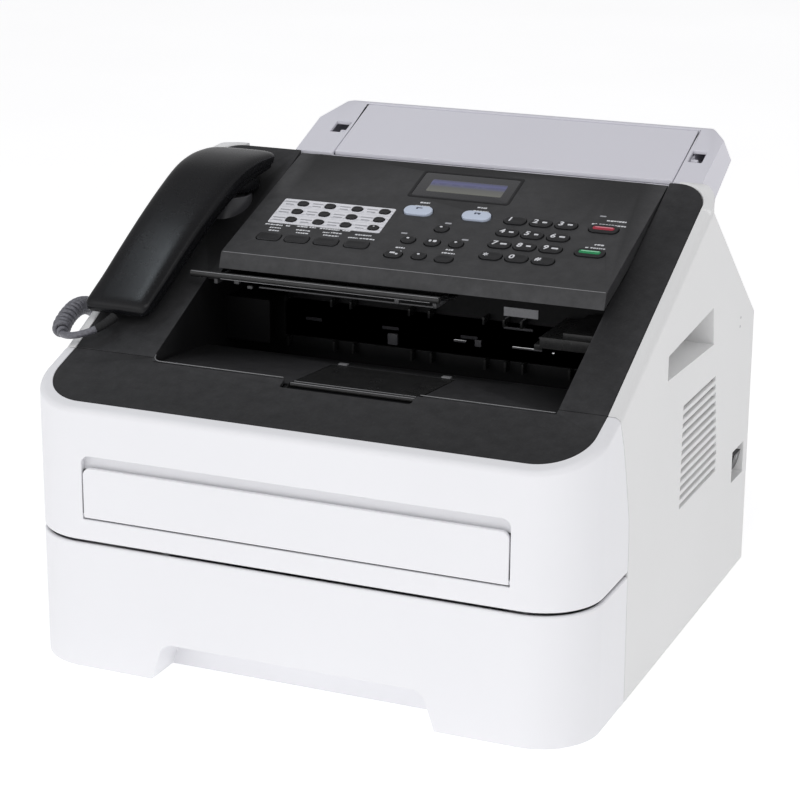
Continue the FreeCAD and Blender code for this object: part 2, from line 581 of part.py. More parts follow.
# ------------------------------------------------------------------ document feeder
fh = [(80, rear_z(80) + 0.4), (80, 286.6), (141, 311), (146.5, 311), (154, 290.5), (116, 270), (108, rear_z(108) + 0.4)]
TOPS = (311 - 286.6) / 61.0


def top_z(y):
    return 286.6 + (y - 80) * TOPS


fo = poly("YZ", fh, -118, 169)
bevel_dir = V(0.748, 0.415, 0.519)
corner = doc.addObject("Part::Box", nm("CornerBevel"))
corner.Length, corner.Width, corner.Height = 80, 80, 30
turn = FreeCAD.Rotation(V(0, 0, 1), bevel_dir)
corner.Placement = FreeCAD.Placement(V(168.3, 131.4, 307.1) - turn.multVec(V(40, 40, 0)), turn)
fo = cut(fo, corner, poly("XY", [(-119, 118), (-119, 160), (-96, 160)], 240, 320))
fi = poly("YZ", [(82.5, 250), (82.5, 284.8), (141, 308.2), (144.5, 308.2), (150.6, 291.3), (113.2, 271.2), (105.5, 238)], -114.5, 165.5)
fi = cut(fi, poly("XY", [(170, 112), (170, 160), (147, 160)], 230, 320), poly("XY", [(-116, 112), (-116, 160), (-91, 160)], 230, 320))
lid_open = box(-90, 150, 70, 140.4, 275, 320)
lid_cut = cut(lid_open, box(-91, 151, 60, 81.5, 270, 284.6))
cheeks = [poly("YZ", [(84, 284), (140, 306), (143, 306), (143, 290), (120, 272), (90, 272)], a, a + 3) for a in (-93.5, 150.5)]
fbr = [box(a, a + 3, 92, 108, 255, 286) for a in (-98, 154)]
hinge_z = top_z(138.5) - 1.6
nl = box(-103, -92.5, 104, 117, top_z(104) - 6, 320)
nr = box(152.5, 162, 104, 117, top_z(104) - 6, 320)
fsolid = fuse(cut(fo, fi), *cheeks)
fsolid = cut(fsolid, lid_cut, nl, nr, cyl("x", 138.5, hinge_z, 1.46, -95, 160), cyl("x", 100, 272, 3.06, -112, 168))
shelf = [box(-112, -104, 94, 106, 262, 282), box(158, 166, 94, 106, 262, 282)]
posts = [cut(s, cyl("x", 100, 272, 3.06, -200, 200)) for s in shelf]
tie = [box(-115.5, -104, 94, 106, 262, 265), box(158, 167, 94, 106, 262, 265)]
node("document_feeder_housing", fuse(fsolid, *(posts + tie)))
lid = poly("YZ", [(82.2, top_z(82.2)), (138.5, top_z(138.5)), (138.5, top_z(138.5) - 3.2), (82.2, top_z(82.2) - 3.2)], -89.4, 149.4)
lid = fuse(lid, cyl("x", 138.5, hinge_z, 1.6, -89.4, 149.4), cyl("x", 138.5, hinge_z, 1.4, -93.2, 153.2))
node("document_lid", lid)
node("document_feed_roller", shaft(100, 272, 3, -111.5, 165.5, [(8, -20, 20), (8, -80, -66), (8, 76, 90)]))

# ------------------------------------------------------------------ handset
# stations along the handset: y, top z, thickness, left x, right x, slope in degrees
ST = [(-103.0, 213.6, 9.4, -181.2, -136.0, 30), (-97.0, 219.2, 12.6, -180.6, -135.4, 36), (-82.0, 229.8, 14.5, -179.0, -133.4, 37),
      (-62.0, 244.6, 15.5, -177.0, -130.6, 37), (-39.0, 260.8, 16, -174.8, -127.4, 34), (-16.0, 275.6, 16.5, -172.6, -124.0, 31),
      (4.0, 286.2, 17, -171.0, -120.8, 20), (22.0, 290.5, 16.5, -170.2, -119.2, 7), (42.0, 290.8, 14, -169.6, -118.4, -4),
      (56.0, 289.0, 10.5, -169, -118.6, -12)]


def hand_section(st, top, bottom, r):
    """Rounded rectangle across the handset between two depths below its top."""
    y, zt, th, xl, xr, sl = st
    a = math.radians(sl)
    nv = V(0, -math.sin(a), math.cos(a))
    c = V(0, y, zt)
    h0, h1 = -bottom, -top
    r = min(r, (h1 - h0) / 2.05)
    P = []
    for (x, h) in ((xl, h0), (xr, h0), (xr, h1), (xl, h1)):
        P.append(c + V(x, 0, 0) + nv * h)
    edges = []
    pts = []
    for i in range(4):
        p, n0, n1 = P[i], P[i - 1], P[(i + 1) % 4]
        d0 = (n0 - p).normalize()
        d1 = (n1 - p).normalize()
        s = p + d0 * r
        t = p + d1 * r
        m = p + (d0 + d1) * r * (1 - math.sqrt(0.5))
        pts.append((s, m, t))
    for i in range(4):
        s, m, t = pts[i]
        edges.append(Part.Arc(s, m, t).toShape())
        edges.append(Part.LineSegment(t, pts[(i + 1) % 4][0]).toShape())
    return Part.Wire(edges)


def feature(label, shape):
    o = doc.addObject("Part::Feature", nm("Shape"))
    o.Shape = shape
    o.Placement = FreeCAD.Placement()
    return o


def between(stations, steps):
    """More stations along smooth curves through the given ones."""
    n = len(stations)
    ys = [s[0] for s in stations]
    slopes = []
    for i in range(n):
        a, b = max(0, i - 1), min(n - 1, i + 1)
        slopes.append([(stations[b][k] - stations[a][k]) / (ys[b] - ys[a]) for k in range(6)])
    out = []
    for i in range(n - 1):
        h = ys[i + 1] - ys[i]
        m = max(1, int(round(h / steps)))
        for j in range(m):
            t = j / float(m)
            h00, h10 = 2 * t ** 3 - 3 * t * t + 1, t ** 3 - 2 * t * t + t
            h01, h11 = -2 * t ** 3 + 3 * t * t, t ** 3 - t * t
            out.append(tuple(h00 * stations[i][k] + h10 * h * slopes[i][k] + h01 * stations[i + 1][k] + h11 * h * slopes[i + 1][k]
                             for k in range(6)))
    return out + [stations[-1]]


ST = between(ST, 6.0)
outer = Part.makeLoft([hand_section(s, 0, s[2] * 0.62, 4.2) for s in ST], True, True)
inner_pts = [(s[0], s[1], s[2], s[3] + 0.8, s[4] - 0.8, s[5]) for s in ST]
inner = Part.makeLoft([hand_section(s, s[2] * 0.62 + 0.05, s[2], 2.0) for s in inner_pts], True, True)
node("handset_outer_shell", feature("handset_outer_shell", outer))
in_f = feature("inner", inner)
cup = cyl("z", -143.5, 30, 20.5, 266, 277)
cup = rounded(cup, 2, lambda e: near(e, z=266.0) and e.Length > 50)
cup_ring = cut(cup, cyl("z", -143.5, 24, 9, 265, 269), poly("YZ", [(5, 250), (60, 250), (60, deck_z(60) + 1.4), (5, deck_z(5) + 1.4)], -175, -110))
up_clip = poly("YZ", [(-30, 255), (60, 255), (60, 270), (40, 276.2), (22, 274), (4, 268), (-16, 266.5), (-30, 262)], -175, -110)
mouth = poly("YZ", [(-96.5, 206.2), (-96.5, 207.0), (-89.6, 210.3), (-73.3, 219.6), (-71.5, 218.8), (-80, 212.6), (-91, 206.9)], -172, -144)
node("handset_inner_shell", fuse(in_f, cut(common(cup_ring, box(-175, -110, 5, 52, 266, 278)), feature("outer_copy", outer)), mouth))

# curly cord: straight lead out of the mouthpiece, then the coil's outer tube
ROUTE = [(-158, -103.2, 207.4), (-160, -111.5, 204.2), (-168, -119.0, 200.2), (-178.5, -122.0, 197.4), (-188, -118.5, 196.4),
         (-192.8, -110.0, 199.2), (-193.4, -99.5, 204.6), (-193.6, -86.0, 207.4), (-193.4, -71, 203.6), (-193.6, -55, 192.0),
         (-193.4, -40, 177.0), (-193.8, -22, 160.5), (-193.4, -2, 148.0), (-193.6, 20, 141.5), (-193.4, 42, 142.0),
         (-193.7, 62, 147.5), (-192.6, 80, 153.6), (-186.0, 90.6, 156.4), (-177.0, 92.2, 157.0)]


def route_path(pts):
    P = [V(*p) for p in pts]
    runs = [(P[i + 1] - P[i]).Length for i in range(len(P) - 1)]
    edges = []
    at = P[0]
    radii = []
    for i in range(1, len(P) - 1):
        d0 = (P[i] - P[i - 1]).normalize()
        d1 = (P[i + 1] - P[i]).normalize()
        turn = d0.getAngle(d1)
        t = 0.45 * min(runs[i - 1], runs[i])
        rad = t / math.tan(turn / 2)
        s = P[i] - d0 * t
        e = P[i] + d1 * t
        bis = (d1 - d0).normalize()
        c = P[i] + bis * (rad / math.cos(turn / 2))
        m = c - bis * rad
        if (s - at).Length > 1e-6:
            edges.append(Part.LineSegment(at, s).toShape())
        edges.append(Part.Arc(s, m, e).toShape())
        radii.append((round(rad, 1), round(math.degrees(turn), 1)))
        at = e
    edges.append(Part.LineSegment(at, P[-1]).toShape())
    return edges, radii


def tube(edges, r):
    w = Part.Wire(edges)
    e0 = edges[0]
    p = e0.valueAt(e0.FirstParameter)
    t = e0.tangentAt(e0.FirstParameter)
    prof = Part.Wire([Part.Circle(p, t, r).toShape()])
    s = w.makePipeShell([prof], True, False)
    area = math.pi * r * r * w.Length
    print("cord tube: length %.1f, volume %.0f, section x length %.0f, solid %s" % (w.Length, s.Volume, area, s.isValid()))
    return s


edges, radii = route_path(ROUTE)
print("cord radii (mm, degrees):", radii)
nlead = 8
lead = tube(edges[:nlead], 2.4)
curl = tube(edges[nlead:-4], 6.2)
tail = tube(edges[-4:], 2.4)
node("handset_cord", feature("handset_cord", lead.fuse([curl, tail])))

# ------------------------------------------------------------------ mains switch and inlet
rock = fuse(cyl("y", 175.9, 80.5, 0.9, 140.2, 160.8), cut(poly("XZ", [(173, 74), (180, 73.6), (182.4, 80.5), (183.8, 87.4), (173, 87)], 142, 159), box(165, 176, 140, 161, 70, 90)))
node("power_switch", rock)
inlet = fuse(cut(box(-166, -136, 165, D2 - TW - 0.2, 12, 34), box(-162, -140, 170, 200, 15.5, 30.5)),
             *[box(x - 1, x + 1, 168, 175, 21, 25) for x in (-157, -151, -145)])
node("power_inlet", inlet)

# ------------------------------------------------------------------ checks and export
doc.recompute()
bad = [o.Name for o in doc.Objects if "Invalid" in o.State or "Error" in o.State]
if bad:
    for o in doc.Objects:
        if o.Name in bad:
            print("BAD", o.Name, o.State, [x.Name for x in o.OutList], [x.Label for x in o.InList])
            for x in o.OutList:
                print("   ", x.Name, x.Shape.isNull(), x.Shape.isValid(), x.Shape.BoundBox)
    raise SystemExit("failed objects: %s" % bad)
assert len(set(n for n, _ in nodes)) == len(nodes)
box_all = FreeCAD.BoundBox()
for label, obj in nodes:
    s = obj.Shape
    if s.isNull() or not s.isValid():
        raise SystemExit("bad shape: " + label)
    if label != "handset_cord":
        box_all.add(s.BoundBox)
    print("%-26s solids %d  volume %9.0f  x %.1f..%.1f y %.1f..%.1f z %.1f..%.1f" % (
        label, len(s.Solids), s.Volume, s.BoundBox.XMin, s.BoundBox.XMax, s.BoundBox.YMin, s.BoundBox.YMax, s.BoundBox.ZMin, s.BoundBox.ZMax))
print("box without the cord: x %.2f..%.2f y %.2f..%.2f z %.2f..%.2f" % (box_all.XMin, box_all.XMax, box_all.YMin, box_all.YMax, box_all.ZMin, box_all.ZMax))
for label, obj in nodes:
    obj.Shape.exportStep("parts/" + label + ".step")
print("nodes", len(nodes))
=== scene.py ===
import bmesh
import bpy
import json
import math
import numpy as np
from mathutils import Matrix, Vector


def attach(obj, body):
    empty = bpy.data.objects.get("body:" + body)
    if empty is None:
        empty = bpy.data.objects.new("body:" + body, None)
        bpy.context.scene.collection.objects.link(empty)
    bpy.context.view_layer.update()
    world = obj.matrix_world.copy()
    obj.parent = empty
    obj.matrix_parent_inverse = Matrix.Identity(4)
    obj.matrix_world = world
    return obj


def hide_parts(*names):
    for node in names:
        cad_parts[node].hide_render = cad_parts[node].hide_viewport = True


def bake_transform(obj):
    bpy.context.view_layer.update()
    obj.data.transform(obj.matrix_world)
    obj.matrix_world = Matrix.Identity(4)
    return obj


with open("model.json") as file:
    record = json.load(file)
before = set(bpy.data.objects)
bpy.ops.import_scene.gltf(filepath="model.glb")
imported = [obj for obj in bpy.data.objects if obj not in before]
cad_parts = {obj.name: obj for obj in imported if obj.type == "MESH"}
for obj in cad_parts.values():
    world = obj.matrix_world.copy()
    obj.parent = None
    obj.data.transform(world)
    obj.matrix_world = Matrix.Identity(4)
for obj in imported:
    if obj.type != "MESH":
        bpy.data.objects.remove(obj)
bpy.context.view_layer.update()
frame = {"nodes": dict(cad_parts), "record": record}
scene = bpy.context.scene
nodes = frame["nodes"]
node_body = {n: b for b, ns in frame["record"]["behaviour"]["bodies"].items() for n in ns}

# ------------------------------------------------------------------ camera
cam = bpy.data.cameras.new("camera")
cam.sensor_fit = "HORIZONTAL"
cam.sensor_width = 36.0
cam.lens = 104.5658
cam.clip_start, cam.clip_end = 0.05, 60.0
cam_ob = bpy.data.objects.new("camera", cam)
scene.collection.objects.link(cam_ob)
right, up, back = (0.9198891830, 0.3921183253, 0.0068636689), (-0.1207505963, 0.2665366767, 0.9562308787), (0.3731262312, -0.8804552339, 0.2925327274)
eye = (0.5625944428, -1.3394934267, 0.5882351931)
cam_ob.matrix_world = Matrix([[right[i], up[i], back[i], eye[i]] for i in range(3)] + [[0, 0, 0, 1]])
scene.camera = cam_ob
scene.view_settings.view_transform = "Standard"
scene.view_settings.look = "None"


# ------------------------------------------------------------------ small tools
def lin(*rgb):
    out = []
    for c in rgb:
        c = c / 255.0
        out.append(c / 12.92 if c <= 0.04045 else ((c + 0.055) / 1.055) ** 2.4)
    return tuple(out)


class Tree:
    """Short way to write a node tree."""

    def __init__(self, name):
        self.m = bpy.data.materials.new(name)
        self.m.use_nodes = True
        self.t = self.m.node_tree
        self.t.nodes.clear()
        self.out = self.n("ShaderNodeOutputMaterial")
        self.bsdf = self.n("ShaderNodeBsdfPrincipled")
        self.t.links.new(self.bsdf.outputs[0], self.out.inputs[0])
        self.at = self.n("ShaderNodeTexCoord").outputs["Object"]

    def n(self, kind, **kw):
        x = self.t.nodes.new(kind)
        for k, v in kw.items():
            setattr(x, k, v)
        return x

    def put(self, sock, v):
        if isinstance(v, bpy.types.NodeSocket):
            self.t.links.new(v, sock)
        elif hasattr(sock, "default_value"):
            if isinstance(v, tuple) and len(v) == 3 and sock.type == "RGBA":
                v = (*v, 1.0)
            sock.default_value = v

    def noise(self, scale, detail=3.0, rough=0.5, vec=None):
        x = self.n("ShaderNodeTexNoise")
        self.put(x.inputs["Vector"], vec or self.at)
        x.inputs["Scale"].default_value = scale
        x.inputs["Detail"].default_value = detail
        x.inputs["Roughness"].default_value = rough
        return x.outputs["Fac"]

    def voronoi(self, scale, feature="SMOOTH_F1", vec=None):
        x = self.n("ShaderNodeTexVoronoi", feature=feature)
        self.put(x.inputs["Vector"], vec or self.at)
        x.inputs["Scale"].default_value = scale
        return x.outputs["Distance"]

    def ramp(self, fac, stops):
        x = self.n("ShaderNodeValToRGB")
        self.put(x.inputs["Fac"], fac)
        e = x.color_ramp.elements
        while len(e) < len(stops):
            e.new(0.5)
        for el, (p, c) in zip(e, stops):
            el.position = p
            el.color = (*c, 1.0) if isinstance(c, tuple) else (c, c, c, 1.0)
        return x.outputs["Color"]

    def math(self, op, a, b=0.0, clamp=False):
        x = self.n("ShaderNodeMath", operation=op, use_clamp=clamp)
        self.put(x.inputs[0], a)
        self.put(x.inputs[1], b)
        return x.outputs[0]

    def mix(self, fac, a, b, mode="MIX"):
        x = self.n("ShaderNodeMix", data_type="RGBA", blend_type=mode)
        self.put(x.inputs[0], fac)
        self.put(x.inputs[6], a)
        self.put(x.inputs[7], b)
        return x.outputs[2]

    def remap(self, v, lo, hi):
        x = self.n("ShaderNodeMapRange")
        self.put(x.inputs["Value"], v)
        x.inputs["From Min"].default_value, x.inputs["From Max"].default_value = 0.0, 1.0
        x.inputs["To Min"].default_value, x.inputs["To Max"].default_value = lo, hi
        return x.outputs[0]

    def bump(self, height, strength, distance, normal=None):
        x = self.n("ShaderNodeBump")
        x.inputs["Strength"].default_value = strength
        x.inputs["Distance"].default_value = distance
        self.put(x.inputs["Height"], height)
        if normal is not None:
            self.put(x.inputs["Normal"], normal)
        return x.outputs[0]

    def pointy(self, lo, hi):
        g = self.n("ShaderNodeNewGeometry")
        return self.ramp(g.outputs["Pointiness"], [(lo, 0.0), (hi, 1.0)])

    def set(self, **kw):
        for k, v in kw.items():
            self.put(self.bsdf.inputs[k.replace("_", " ")], v)
        return self.m


def moulded(name, rgb, rough, var=0.02, grain=1400, depth=0.00006, strength=0.25, rvar=0.07, edge_rub_and_highlight=0.0, edge_rub_and_highlight_rgb=(0.5, 0.5, 0.5),
            spec=0.5, coat=0.0, dust=0.0, sss=0.0):
    """Injection-moulded plastic: broad tone drift, spark-eroded grain, uneven sheen, lighter edges that are partly
    rubbed wear and partly a painted highlight of edges catching light, and a little dust.
    """
    t = Tree(name)
    broad = t.noise(9.0, 3.0)
    lo_c, hi_c = tuple(c * (1 - var) for c in rgb), tuple(min(1.0, c * (1 + var)) for c in rgb)
    col = t.ramp(broad, [(0.3, lo_c), (0.7, hi_c)])
    speck = t.noise(2600.0, 2.0, 0.7)
    col = t.mix(t.remap(speck, 0.0, 0.12), col, tuple(c * 0.8 for c in rgb))
    if edge_rub_and_highlight > 0:
        # sharp edges lightened by pointiness: partly rubbed wear, partly a painted highlight where the edges catch
        # light
        edge = t.math("MULTIPLY", t.pointy(0.505, 0.56), t.remap(t.noise(120.0, 4.0, 0.65), 0.2, 1.2), True)
        col = t.mix(t.math("MULTIPLY", edge, edge_rub_and_highlight), col, edge_rub_and_highlight_rgb)
    if dust > 0:
        g = t.n("ShaderNodeNewGeometry")
        sep = t.n("ShaderNodeSeparateXYZ")
        t.put(sep.inputs[0], g.outputs["Normal"])
        top = t.math("MULTIPLY", t.math("MAXIMUM", sep.outputs[2], 0.0), t.ramp(t.noise(500.0, 6.0, 0.8), [(0.52, 0.0), (0.78, 1.0)]))
        col = t.mix(t.math("MULTIPLY", top, dust), col, (0.45, 0.45, 0.44))
    cells = t.voronoi(grain)
    fine = t.noise(grain * 1.6, 3.0, 0.6)
    h = t.math("ADD", t.math("MULTIPLY", cells, 0.7), t.math("MULTIPLY", fine, 0.5))
    nrm = t.bump(h, strength, depth)
    nrm = t.bump(t.noise(26.0, 2.0), 0.05, 0.0006, nrm)
    r = t.math("ADD", t.remap(t.noise(70.0, 4.0, 0.6), rough - rvar * 0.5, rough + rvar * 0.5), t.remap(t.noise(7.0, 2.0), -rvar * 0.4, rvar * 0.4))
    t.set(Base_Color=col, Roughness=r, Normal=nrm, Specular_IOR_Level=spec, Coat_Weight=coat, Coat_Roughness=0.12)
    if sss > 0:
        t.set(Subsurface_Weight=sss, Subsurface_Scale=0.002)
    return t.m


def printed(name, rgb, rough=0.5):
    """Screen-printed ink: slightly raised, mottled and broken at the edges."""
    t = Tree(name)
    n = t.noise(1900.0, 3.0, 0.6)
    col = t.ramp(n, [(0.25, tuple(c * 0.82 for c in rgb)), (0.7, rgb)])
    return t.set(Base_Color=col, Roughness=t.remap(t.noise(900.0, 2.0), rough - 0.08, rough + 0.08), Normal=t.bump(n, 0.2, 0.00002), Specular_IOR_Level=0.3)


def metal(name, rgb, rough, brush=(60.0, 4000.0, 4000.0)):
    t = Tree(name)
    mp = t.n("ShaderNodeMapping")
    mp.inputs["Scale"].default_value = brush
    t.put(mp.inputs["Vector"], t.at)
    lines = t.noise(1.0, 4.0, 0.7, mp.outputs[0])
    spangle = t.voronoi(160.0, "F1")
    col = t.mix(t.remap(spangle, 0.0, 0.25), t.ramp(lines, [(0.3, tuple(c * 0.8 for c in rgb)), (0.7, rgb)]), tuple(c * 1.08 for c in rgb))
    return t.set(Base_Color=col, Metallic=1.0, Roughness=t.remap(lines, rough - 0.1, rough + 0.12), Normal=t.bump(lines, 0.15, 0.00003))


M = {
    "white_plastic": moulded("white_plastic", lin(237, 237, 240), 0.42, var=0.008, strength=0.18, depth=0.00005, edge_rub_and_highlight=0.0, spec=0.35),
    "side_white_plastic": moulded("side_white_plastic", lin(230, 230, 230), 0.46, var=0.01, strength=0.25, grain=1200, spec=0.35),
    "feeder_plastic": moulded("feeder_plastic", lin(219, 218, 226), 0.48, var=0.012, strength=0.3, grain=1100, spec=0.35),
    "black_plastic": moulded("black_plastic", lin(27, 27, 28), 0.45, var=0.06, strength=0.4, grain=1000, depth=0.00008, edge_rub_and_highlight=0.35, edge_rub_and_highlight_rgb=lin(96, 96, 98), spec=0.13, dust=0.03),
    "panel_plastic": moulded("panel_plastic", lin(34, 34, 35), 0.42, var=0.05, strength=0.35, grain=1100, depth=0.00007, edge_rub_and_highlight=0.4, edge_rub_and_highlight_rgb=lin(104, 104, 106), spec=0.24, dust=0.03),
    "recess_plastic": moulded("recess_plastic", lin(12, 12, 13), 0.27, var=0.08, strength=0.15, grain=900, edge_rub_and_highlight=0.35, edge_rub_and_highlight_rgb=lin(92, 92, 92), spec=0.32, dust=0.06),
    "handset_plastic": moulded("handset_plastic", lin(17, 17, 19), 0.27, var=0.06, strength=0.16, grain=1300, depth=0.00004, edge_rub_and_highlight=0.15, edge_rub_and_highlight_rgb=lin(70, 72, 76), spec=0.22, dust=0.02),
    "key_plastic": moulded("key_plastic", lin(20, 20, 22), 0.36, var=0.05, strength=0.2, grain=1800, edge_rub_and_highlight=0.25, edge_rub_and_highlight_rgb=lin(84, 84, 86), spec=0.32),
    "mode_key_plastic": moulded("mode_key_plastic", lin(196, 206, 224), 0.32, var=0.02, strength=0.12, grain=1800, spec=0.5, coat=0.2),
    "grey_plastic": moulded("grey_plastic", lin(92, 92, 96), 0.5, var=0.05, strength=0.35, grain=1000),
    "gear_plastic": moulded("gear_plastic", lin(226, 222, 208), 0.38, var=0.03, strength=0.15, grain=1500),
    "steel": metal("steel", (0.56, 0.57, 0.58), 0.36),
    "pin_steel": metal("pin_steel", (0.75, 0.75, 0.76), 0.22, (4000.0, 4000.0, 60.0)),
    "ink_white": printed("ink_white", lin(225, 226, 230)),
    "ink_pale": printed("ink_pale", lin(172, 173, 178)),
    "ink_grey": printed("ink_grey", lin(158, 158, 164)),
    "ink_dark": printed("ink_dark", lin(66, 72, 92)),
    "ink_red": printed("ink_red", lin(170, 52, 70)),
    "ink_green": printed("ink_green", lin(40, 140, 88)),
}


def rubber_material(name, rgb, ribs=0.0):
    t = Tree(name)
    n = t.noise(1500.0, 5.0, 0.7)
    col = t.ramp(n, [(0.3, tuple(c * 0.75 for c in rgb)), (0.75, tuple(c * 1.25 for c in rgb))])
    return t.set(Base_Color=col, Roughness=t.remap(t.noise(300.0, 3.0), 0.66, 0.86), Normal=t.bump(n, 0.5, 0.00012), Specular_IOR_Level=0.35)


M["rubber"] = rubber_material("rubber", lin(34, 34, 35))
M["roller_rubber"] = rubber_material("roller_rubber", lin(66, 66, 70))


def cord_material():
    t = Tree("cord_plastic")
    n = t.noise(700.0, 3.0, 0.6)
    col = t.ramp(n, [(0.3, lin(82, 82, 88)), (0.75, lin(120, 120, 128))])
    return t.set(Base_Color=col, Roughness=t.remap(t.noise(240.0, 3.0), 0.32, 0.5), Normal=t.bump(n, 0.18, 0.00006), Specular_IOR_Level=0.5, Coat_Weight=0.15, Coat_Roughness=0.25)


M["cord_plastic"] = cord_material()
M["dull_plastic"] = moulded("dull_plastic", lin(14, 14, 15), 0.62, var=0.08, strength=0.3, grain=900, spec=0.12)
# lighter grey for the cradle collar: painted highlight of glossy black plastic
M["collar_highlight_grey"] = moulded("collar_highlight_grey", lin(62, 62, 65), 0.3, var=0.05, strength=0.12, grain=1500, spec=0.5)
# grey for the output bar's small mouldings, also used to paint its catch-light line and spots
M["bar_moulding_and_highlight_grey"] = moulded("bar_moulding_and_highlight_grey", lin(74, 74, 76), 0.35, var=0.05, strength=0.15, grain=1500, spec=0.4)
# pale grey for thin beads and small blocks: painted highlight lines and spots where black edges catch light
M["catchlight_grey"] = moulded("catchlight_grey", lin(128, 128, 130), 0.3, var=0.05, strength=0.15, grain=1500, spec=0.5)

pa = math.atan(0.355)
pc, ps = math.cos(pa), math.sin(pa)


def panel_v(t):
    """Distance up the sloping panel, in mm, as a shader value."""
    sep = t.n("ShaderNodeSeparateXYZ")
    t.put(sep.inputs[0], t.at)
    v = t.math("ADD", t.math("MULTIPLY", sep.outputs[1], pc * 1000), t.math("MULTIPLY", sep.outputs[2], ps * 1000))
    return t.math("SUBTRACT", v, -44 * pc + 242 * ps), t.math("MULTIPLY", sep.outputs[0], 1000.0)


def card_material():
    t = Tree("label_card")
    fib = t.noise(1300.0, 6.0, 0.75)
    col = t.ramp(fib, [(0.25, lin(206, 206, 212)), (0.7, lin(240, 240, 244))])
    v, x = panel_v(t)
    row = t.math("FRACT", t.math("DIVIDE", t.math("SUBTRACT", v, 39.9), 10.0))
    line = t.ramp(row, [(0.0, 1.0), (0.035, 0.0), (0.965, 0.0), (1.0, 1.0)])
    band = t.ramp(row, [(0.12, 0.0), (0.16, 1.0), (0.30, 1.0), (0.34, 0.0), (0.52, 0.0), (0.56, 1.0), (0.66, 1.0), (0.70, 0.0)])
    broken = t.ramp(t.noise(420.0, 3.0, 0.7), [(0.42, 0.0), (0.56, 1.0)])
    col = t.mix(t.math("MULTIPLY", line, 0.5), col, lin(150, 150, 158))
    col = t.mix(t.math("MULTIPLY", t.math("MULTIPLY", band, broken), 0.42), col, lin(150, 150, 160))
    return t.set(Base_Color=col, Roughness=0.55, Normal=t.bump(fib, 0.25, 0.00003), Specular_IOR_Level=0.3)


M["label_card"] = card_material()


def glass_material(name, rgb, rough):
    t = Tree(name)
    sm = t.noise(60.0, 5.0, 0.7)
    col = t.ramp(sm, [(0.3, tuple(c * 0.85 for c in rgb)), (0.7, rgb)])
    return t.set(Base_Color=col, Roughness=t.remap(sm, rough, rough + 0.12), Specular_IOR_Level=0.5, Coat_Weight=0.3, Coat_Roughness=0.08, Normal=t.bump(t.noise(35.0, 2.0), 0.04, 0.0004))


M["display_glass"] = glass_material("display_glass", lin(26, 26, 30), 0.12)


def lcd_material():
    t = Tree("display_cells")
    v, x = panel_v(t)
    up = t.remap(t.math("DIVIDE", t.math("SUBTRACT", v, 95.4), 14.6), 0.0, 1.0)
    tone = t.ramp(up, [(0.0, lin(106, 106, 98)), (0.42, lin(90, 90, 88)), (0.55, lin(84, 86, 112)), (0.8, lin(86, 88, 136)), (1.0, lin(64, 66, 96))])
    gx = t.math("FRACT", t.math("DIVIDE", x, 0.62))
    gv = t.math("FRACT", t.math("DIVIDE", v, 0.62))
    cell = t.math("MULTIPLY", t.ramp(gx, [(0.08, 0.0), (0.16, 1.0), (0.9, 1.0)]), t.ramp(gv, [(0.08, 0.0), (0.16, 1.0), (0.9, 1.0)]))
    word = t.math("MULTIPLY", t.ramp(t.noise(300.0, 0.0), [(0.45, 0.0), (0.5, 1.0)]),
                  t.ramp(up, [(0.56, 0.0), (0.6, 1.0), (0.72, 1.0), (0.76, 0.0)]))
    col = t.mix(t.math("MULTIPLY", t.math("MULTIPLY", word, cell), 0.5), tone, lin(60, 62, 108))
    col = t.mix(t.math("MULTIPLY", t.math("SUBTRACT", 1.0, cell), 0.12), col, lin(120, 122, 130))
    return t.set(Base_Color=col, Roughness=0.22, Specular_IOR_Level=0.5, Coat_Weight=0.4, Coat_Roughness=0.05, Normal=t.bump(t.noise(40.0, 2.0), 0.03, 0.0003))


M["lcd"] = lcd_material()


def board_material():
    t = Tree("board")
    tr = t.voronoi(260.0, "DISTANCE_TO_EDGE")
    col = t.mix(t.ramp(tr, [(0.02, 1.0), (0.08, 0.0)]), t.ramp(t.noise(90.0), [(0.3, (0.01, 0.09, 0.04)), (0.7, (0.015, 0.14, 0.06))]), (0.06, 0.28, 0.12))
    return t.set(Base_Color=col, Roughness=0.35, Normal=t.bump(tr, 0.2, 0.0001))


M["board"] = board_material()


def floor_material():
    t = Tree("pale_floor")
    n = t.noise(1.4, 4.0, 0.6)
    col = t.ramp(n, [(0.3, (0.93, 0.93, 0.93)), (0.7, (0.97, 0.97, 0.97))])
    return t.set(Base_Color=col, Roughness=0.9, Specular_IOR_Level=0.1, Normal=t.bump(t.noise(300.0, 4.0), 0.05, 0.0002),
                 Emission_Color=(1.0, 1.0, 1.0), Emission_Strength=0.44)


# ------------------------------------------------------------------ studio
fl = bpy.data.meshes.new("floor")
n_fl, half = 24, 9.0
fv = [(-half + 2 * half * i / n_fl, -half + 2 * half * j / n_fl, -0.0002) for j in range(n_fl + 1) for i in range(n_fl + 1)]
ff = [(j * (n_fl + 1) + i, j * (n_fl + 1) + i + 1, (j + 1) * (n_fl + 1) + i + 1, (j + 1) * (n_fl + 1) + i) for j in range(n_fl) for i in range(n_fl)]
fl.from_pydata(fv, [], ff)
fl.materials.append(floor_material())
floor = bpy.data.objects.new("floor", fl)
scene.collection.objects.link(floor)

